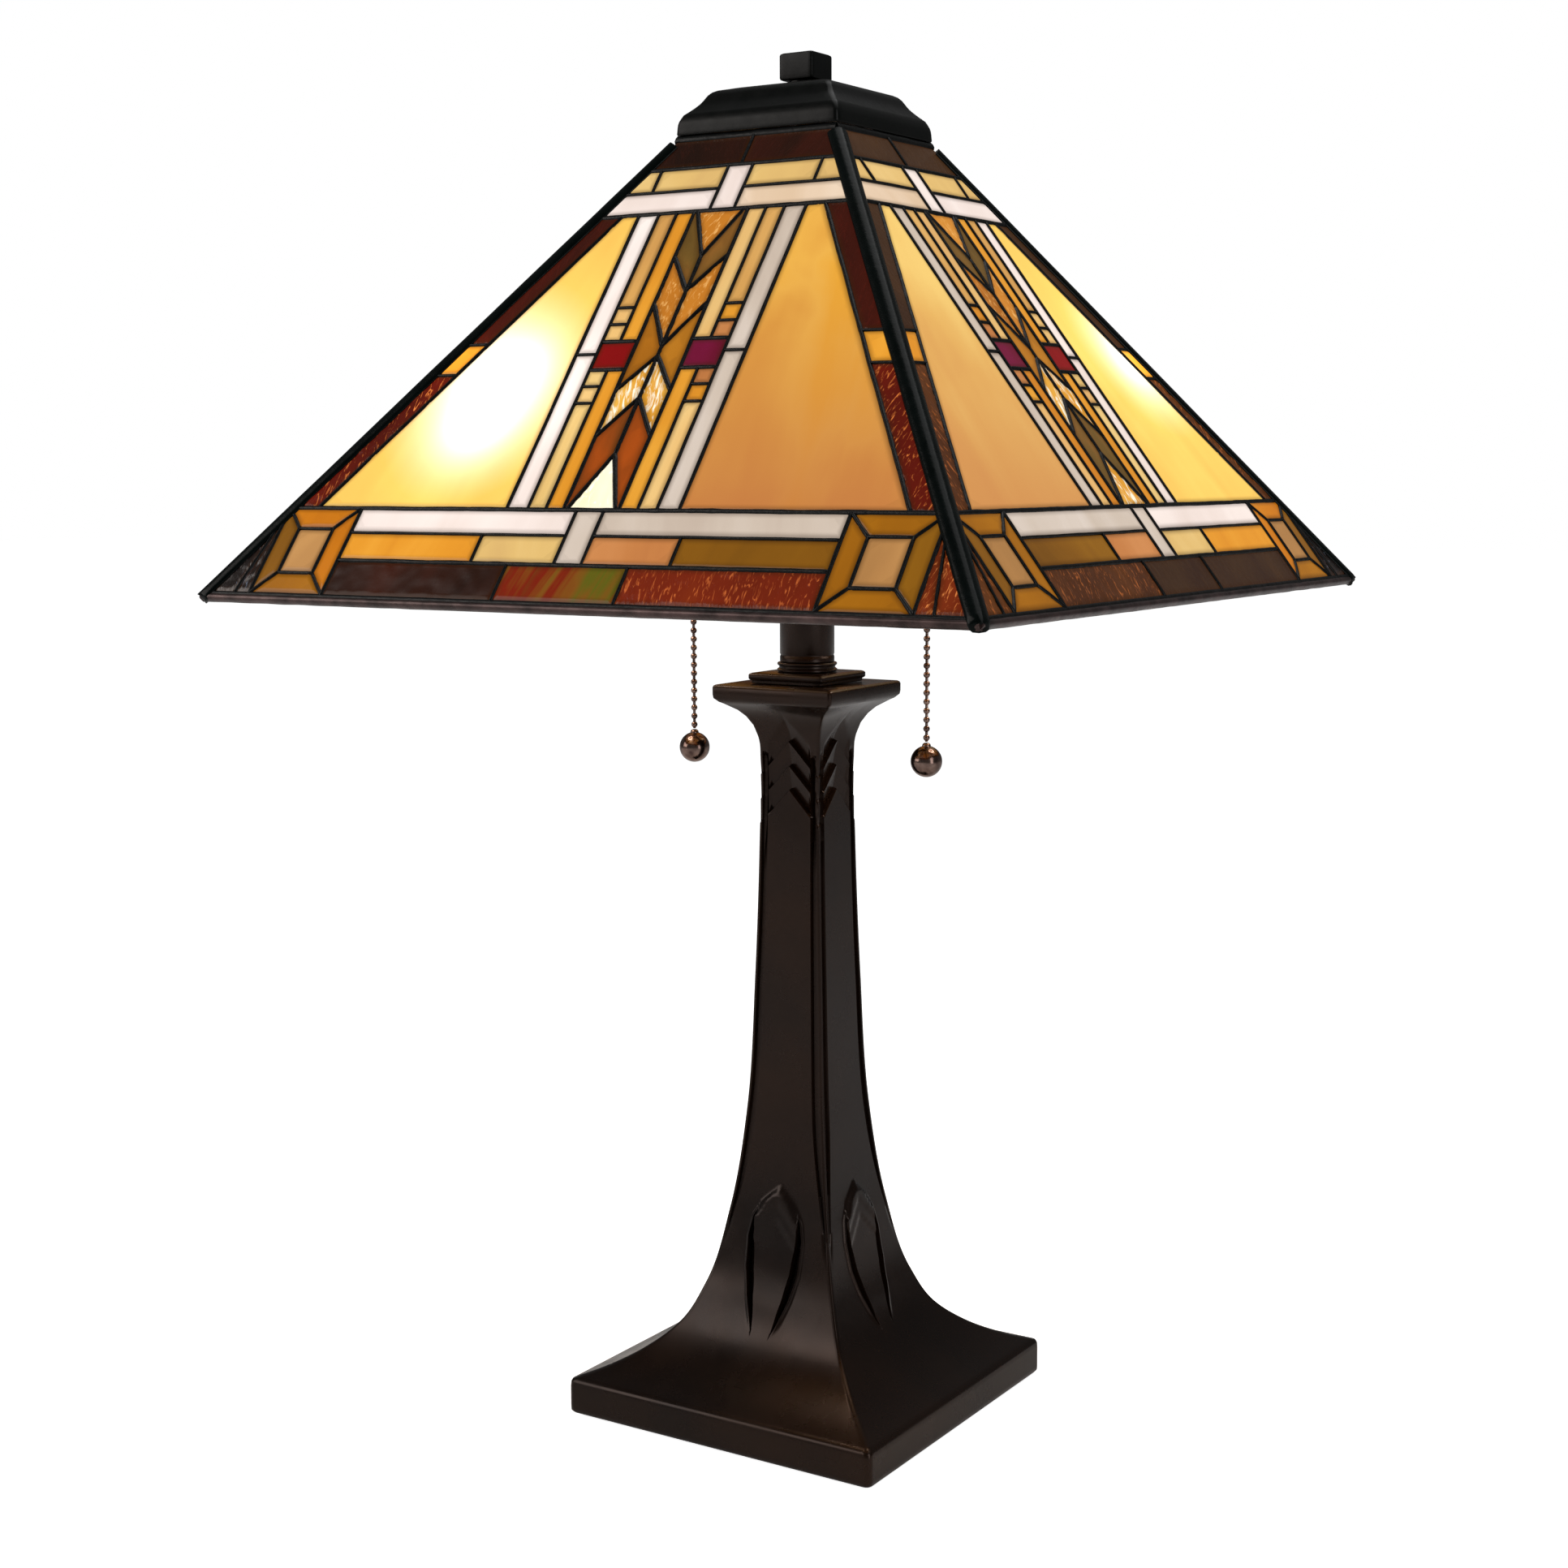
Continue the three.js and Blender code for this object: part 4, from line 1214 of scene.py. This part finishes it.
def chain_profile(top, count):
    """A run of beads and the links between them, from the bottom up."""
    bottom = top - PITCH * count
    profile = [(0, bottom + 0.15), (LINK, bottom + 0.2)]
    turn = math.degrees(math.asin(LINK / BEAD))
    for i in range(count):
        centre = bottom + PITCH * (i + 0.5)
        profile += arc((0, centre), BEAD, -90 + turn, 90 - turn, 8)
    profile += [(LINK, top - 0.2), (0, top - 0.15)]
    return profile


def build_chains():
    for side, sign in (("right", 1), ("left", -1)):
        place = Matrix.Translation((sign * CHAIN_AT[0], sign * CHAIN_AT[1], 0))
        for run, part, first, count in RUNS:
            name = f"chain_{part}_{side}"
            turned(f"beads_{run}_{side}", chain_profile(CHAIN_TOP - PITCH * first, count), CHAIN, name,
                   f"chain_{run}_{side}", "chain_bronze", segments=14, angle=40, place=place)
        neck = PULL_CENTRE + PULL_RADIUS
        profile = arc((0, PULL_CENTRE), PULL_RADIUS, -90, 74, 26)
        profile += [(2.1, neck + 0.1), (1.9, neck + 0.7), (1.2, neck + 1.3), (0, neck + 1.4)]
        turned(f"pull_ball_{side}", profile, CHAIN, f"chain_pull_{side}", f"ball_pull_{side}", "chain_bronze",
               segments=48, angle=50, place=place)


build_chains()


# ---- Light cluster, sockets and bulbs ----

CLUSTER_BODY = ((0, 436.3), (17.6, 436.3), (19.6, 437.1), (20.7, 438.6), (21.0, 440.6), (21.0, 447.2), (20.6, 447.6),
                (20.6, 450.4), (21.0, 450.8), (21.0, 461.4), (20.6, 461.9), (0, 461.9))
CLUSTER_COVER = ((0, 462.4), (20.6, 462.4), (21.0, 462.8), (20.8, 463.6), (19.6, 464.8), (17.6, 466.2),
                 (12.0, 467.6), (6.6, 468.2), (5.1, 468.3), (0, 468.3))
SOCKET_ARM = ((0, 21.4), (4.8, 21.4), (4.8, 26.0), (6.2, 26.4), (6.2, 30.2), (4.8, 30.6), (4.8, 32.6), (0, 32.6))
SOCKET_CAP = ((0, 33.1), (6.6, 33.1), (7.4, 33.6), (10.6, 34.6), (13.2, 36.4), (15.0, 38.8), (15.9, 41.4),
              (16.0, 42.6), (16.0, 43.6), (14.7, 43.6), (14.5, 41.8), (12.6, 38.8), (0, 37.6))
SOCKET_CORE = ((0, 45.1), (12.4, 45.1), (12.9, 45.6), (12.9, 52.5), (12.4, 52.9), (6.0, 52.9), (5.6, 51.5), (0, 51.5))
BULB_CENTRE, BULB_RADIUS = 113.0, 24.0
CHAIN_ALONG, SHELL_RADIUS = 60.6, 16.0


def socket_shell_profile():
    """The shell of a socket: rolled beads near both ends, open at the mouth."""
    outer = [(15.3, 44.2), (15.7, 44.6), (15.7, 46.4), (16.0, 46.9), (16.0, 48.1), (15.7, 48.6), (15.7, 72.2)]
    outer += [(16.0, 72.7), (16.0, 73.9), (15.7, 74.4), (15.7, 76.8), (16.0, 77.2), (16.0, 77.8), (15.6, 78.0)]
    inner = [(14.8, 77.9), (14.65, 77.4), (14.65, 44.4), (14.9, 44.2)]
    return outer + inner


def bulb_base_profile():
    """Centre contact, black insulator's slope and the rolled screw thread."""
    profile = [(0, 54.1), (4.6, 54.1), (5.0, 54.6), (8.6, 57.2), (11.6, 58.2)]
    for i in range(5):
        profile += arc((11.9, 59.9 + 2.9 * i), 0.95, -80, 80, 5)
    return profile + [(12.3, 73.6), (12.7, 74.2), (12.7, 76.8), (0, 76.8)]


def bulb_glass_profile():
    """The envelope: a short neck that swells into the globe, open where the base holds it."""
    globe = arc((0, BULB_CENTRE), BULB_RADIUS, -47, 90, 28)
    neck = smooth_curve(((11.8, 77.4), (12.2, 80.4), (13.6, 86.6), globe[0]), 1.2)
    outside = neck + globe[1:]
    inside = [(max(0.0, r - 1.0), z - 0.9 if z > BULB_CENTRE else z) for r, z in reversed(outside)]
    return outside + inside[:-1] + [(10.8, 77.4)]


def bell_profile():
    mouth = 23.0 - SHELL_RADIUS - 0.3
    return [(2.7, 0.05), (5.0, 0.05), (5.0, 0.6), (4.3, 1.4), (4.0, 2.4), (4.2, mouth - 2.6), (3.9, mouth - 2.3),
            (3.0, mouth - 2.3), (2.7, mouth - 2.6)]


def build_cluster():
    turned("turned_cluster", CLUSTER_BODY, BRASS, "base", "cluster_body", "brass_fitting")
    turned("turned_cluster_cover", CLUSTER_COVER, BRASS, "base", "cluster_cover", "brass_fitting")
    quarter = Matrix.Rotation(math.pi / 2, 4, "Y")
    for side, turn in (("right", CLUSTER_TURN), ("left", CLUSTER_TURN + math.pi)):
        socket = Matrix.Translation((0, 0, CLUSTER_HEIGHT)) @ Matrix.Rotation(turn, 4, "Z")
        along = socket @ quarter
        turned("turned_arm_" + side, SOCKET_ARM, BRASS, "base", "socket_arm_" + side, "brass_fitting", place=along)
        turned("spun_socket_cap_" + side, SOCKET_CAP, BRASS, "base", "socket_cap_" + side, "brass_fitting",
               place=along)
        verts, faces = lathe(socket_shell_profile(), closed=True)
        shell = add_object("spun_shell_" + side, moved(verts, along), faces, BRASS, "base", slot="brass_fitting")
        tidy_normals(shell, 35)
        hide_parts("socket_shell_" + side)
        turned("socket_insulator_" + side, SOCKET_CORE, PORCELAIN, "base", "socket_core_" + side, "porcelain",
               place=along)
        turned("threaded_base_" + side, bulb_base_profile(), BRASS, "bulb_" + side, "bulb_base_" + side,
               "brass_fitting", place=along)
        verts, faces = lathe(bulb_glass_profile(), closed=True)
        bulb = add_object("bulb_envelope_" + side, moved(verts, along), faces, FROSTED, "bulb_" + side,
                          slot="frosted_glass")
        tidy_normals(bulb)
        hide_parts("bulb_glass_" + side)
        sideways = socket @ Matrix.Translation((CHAIN_ALONG, -SHELL_RADIUS - 0.3, 0)) @ Matrix.Rotation(
            math.pi / 2, 4, "X")
        verts, faces = lathe(bell_profile(), 24, closed=True)
        bell = add_object("spun_bell_" + side, moved(verts, sideways), faces, BRASS, "base", slot="brass_fitting")
        tidy_normals(bell, 35)
        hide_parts("switch_bell_" + side)


def frosted_material():
    """A frosted bulb that is lit, with a faint unevenness in its coating and its glow."""
    g = Graph("frosted_bulb")
    place = g.place()
    coat = g.noise(place, 160, 4, 0.6)
    g.set(Base_Color=g.ramp(coat, (0.3, rgb("F4E8D0")), (0.7, rgb("FFF6E4"))), Roughness=0.45)
    g.set(Emission_Color=g.ramp(coat, (0.3, rgb("FFE0A8")), (0.7, rgb("FFEFC8"))))
    g.set(Emission_Strength=g.rough_map(coat, 0.3, 0.7, 2.4, 3.0))
    g.bump(coat, 0.05, 0.0003)
    return g.material


FROSTED = frosted_material()
build_cluster()


# ---- Felt pad ----

def build_felt():
    """The felt under the foot: a thin square with a fibrous surface and a slightly ragged edge."""
    half, thick, cells = 81.0, 1.35, 90
    verts, faces = [], []
    for level in (0, 1):
        for i in range(cells + 1):
            for j in range(cells + 1):
                x, y = -half + 2 * half * i / cells, -half + 2 * half * j / cells
                ragged = 0.35 * noise.noise(Vector((x * 0.9, y * 0.9, 4)))
                on_edge = i in (0, cells) or j in (0, cells)
                fibre = 0.12 * abs(noise.noise(Vector((x * 0.7, y * 0.7, level * 9))))
                z = thick - fibre if level else fibre
                shrinkage = 1 - (0.4 + abs(ragged)) / half if on_edge else 1
                verts.append((x * shrinkage, y * shrinkage, z))
    n = cells + 1
    for i in range(cells):
        for j in range(cells):
            a, b, c, d = i * n + j, (i + 1) * n + j, (i + 1) * n + j + 1, i * n + j + 1
            faces += [[d, c, b, a], [n * n + k for k in (a, b, c, d)]]
    border = [(i, 0) for i in range(cells)] + [(cells, j) for j in range(cells)]
    border += [(i, cells) for i in range(cells, 0, -1)] + [(0, j) for j in range(cells, 0, -1)]
    loop = [i * n + j for i, j in border]
    for a, b in zip(loop, loop[1:] + loop[:1]):
        faces.append([a, b, b + n * n, a + n * n])
    pad = add_object("felt_under_foot", verts, faces, FELT, "base", slot="felt")
    tidy_normals(pad, 60)
    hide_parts("felt_pad")


build_felt()


# ---- Pieces that keep their CAD shape ----

KEPT = {
    "foot_cover": STEEL, "pipe_nut": STEEL, "pipe_washer": STEEL, "base_weight": IRON, "lamp_pipe": STEEL,
    "cord_bushing": RUBBER, "riser_pipe": BRASS, "seat_washer": BRASS, "seat_nut": BRASS, "shade_spider": BRASS,
}
for node_name, material in KEPT.items():
    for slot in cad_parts[node_name].material_slots:
        slot.material = material


# ---- Floor, light and camera ----

def studio():
    """A pale floor and a bright white surround."""
    mesh = bpy.data.meshes.new("floor")
    reach = 12.0
    mesh.from_pydata([(-reach, -reach, 0), (reach, -reach, 0), (reach, reach, 0), (-reach, reach, 0)], [], [(0, 1, 2, 3)])
    floor = bpy.data.objects.new("floor", mesh)
    bpy.context.scene.collection.objects.link(floor)
    g = Graph("pale_floor")
    tone = g.noise(g.place(), 3.0, 3, 0.5)
    g.set(Base_Color=g.ramp(tone, (0.3, (0.9, 0.9, 0.9)), (0.7, (0.93, 0.93, 0.93))), Roughness=0.85)
    seen = g.node("LightPath").outputs["Is Camera Ray"]
    g.set(Emission_Color=(1, 1, 1, 1), Emission_Strength=g.rough_map(seen, 0.0, 1.0, 0.1, 0.9))
    floor.data.materials.append(g.material)
    world = bpy.data.worlds.new("studio")
    world.use_nodes = True
    bpy.context.scene.world = world
    tree = world.node_tree
    background = tree.nodes["Background"]
    background.inputs["Color"].default_value = (1, 1, 1, 1)
    rays = tree.nodes.new("ShaderNodeLightPath")
    strength = tree.nodes.new("ShaderNodeMapRange")
    strength.inputs["To Min"].default_value = 0.14
    strength.inputs["To Max"].default_value = 1.0
    tree.links.new(rays.outputs["Is Camera Ray"], strength.inputs["Value"])
    tree.links.new(strength.outputs["Result"], background.inputs["Strength"])


def softbox(name, place, target, size, power, colour=(1, 1, 1)):
    light = bpy.data.lights.new(name, "AREA")
    light.shape = "RECTANGLE"
    light.size, light.size_y = size
    light.energy = power
    light.color = colour
    obj = bpy.data.objects.new(name, light)
    obj.location = place
    obj.rotation_euler = (Vector(target) - Vector(place)).to_track_quat("-Z", "Y").to_euler()
    bpy.context.scene.collection.objects.link(obj)


def bulb_light(name, place, power):
    light = bpy.data.lights.new(name, "POINT")
    light.energy = power
    light.color = (1.0, 0.82, 0.72)
    light.shadow_soft_size = 0.03
    obj = bpy.data.objects.new(name, light)
    obj.location = place
    bpy.context.scene.collection.objects.link(obj)


def build_camera():
    """The camera, aimed by its heading, pitch and roll."""
    heading, away, height = math.radians(32.02), 1.1682, 0.4683
    yaw, pitch, roll = math.radians(0.567), math.radians(-7.566), math.radians(-0.219)
    camera = bpy.data.objects.new("camera", bpy.data.cameras.new("camera"))
    camera.data.lens = 55.04
    camera.data.sensor_width = 36
    forward = Vector((-math.sin(heading + yaw) * math.cos(pitch), math.cos(heading + yaw) * math.cos(pitch),
                      math.sin(pitch)))
    right = forward.cross(Vector((0, 0, 1))).normalized()
    up = right.cross(forward)
    right, up = (right * math.cos(roll) + up * math.sin(roll), up * math.cos(roll) - right * math.sin(roll))
    camera.matrix_world = Matrix((
        (right.x, up.x, -forward.x, away * math.sin(heading)),
        (right.y, up.y, -forward.y, -away * math.cos(heading)),
        (right.z, up.z, -forward.z, height),
        (0, 0, 0, 1),
    ))
    bpy.context.scene.collection.objects.link(camera)
    bpy.context.scene.camera = camera


studio()
softbox("key", (-1.6, -1.6, 1.3), (0, 0, 0.25), (1.4, 1.8), 30, (1, 0.94, 0.9))
softbox("fill", (1.9, -0.7, 0.9), (0, 0, 0.25), (0.7, 1.8), 14)
softbox("top", (0.2, 0.4, 2.2), (0, 0, 0.5), (1.6, 1.6), 14)
for side, turn in (("right", CLUSTER_TURN), ("left", CLUSTER_TURN + math.pi)):
    bulb_light("glow_" + side, (0.113 * math.cos(turn), 0.113 * math.sin(turn), 0.449), 1.3)
build_camera()
bpy.context.scene.view_settings.view_transform = "Standard"
bpy.context.scene.cycles.use_denoising = True
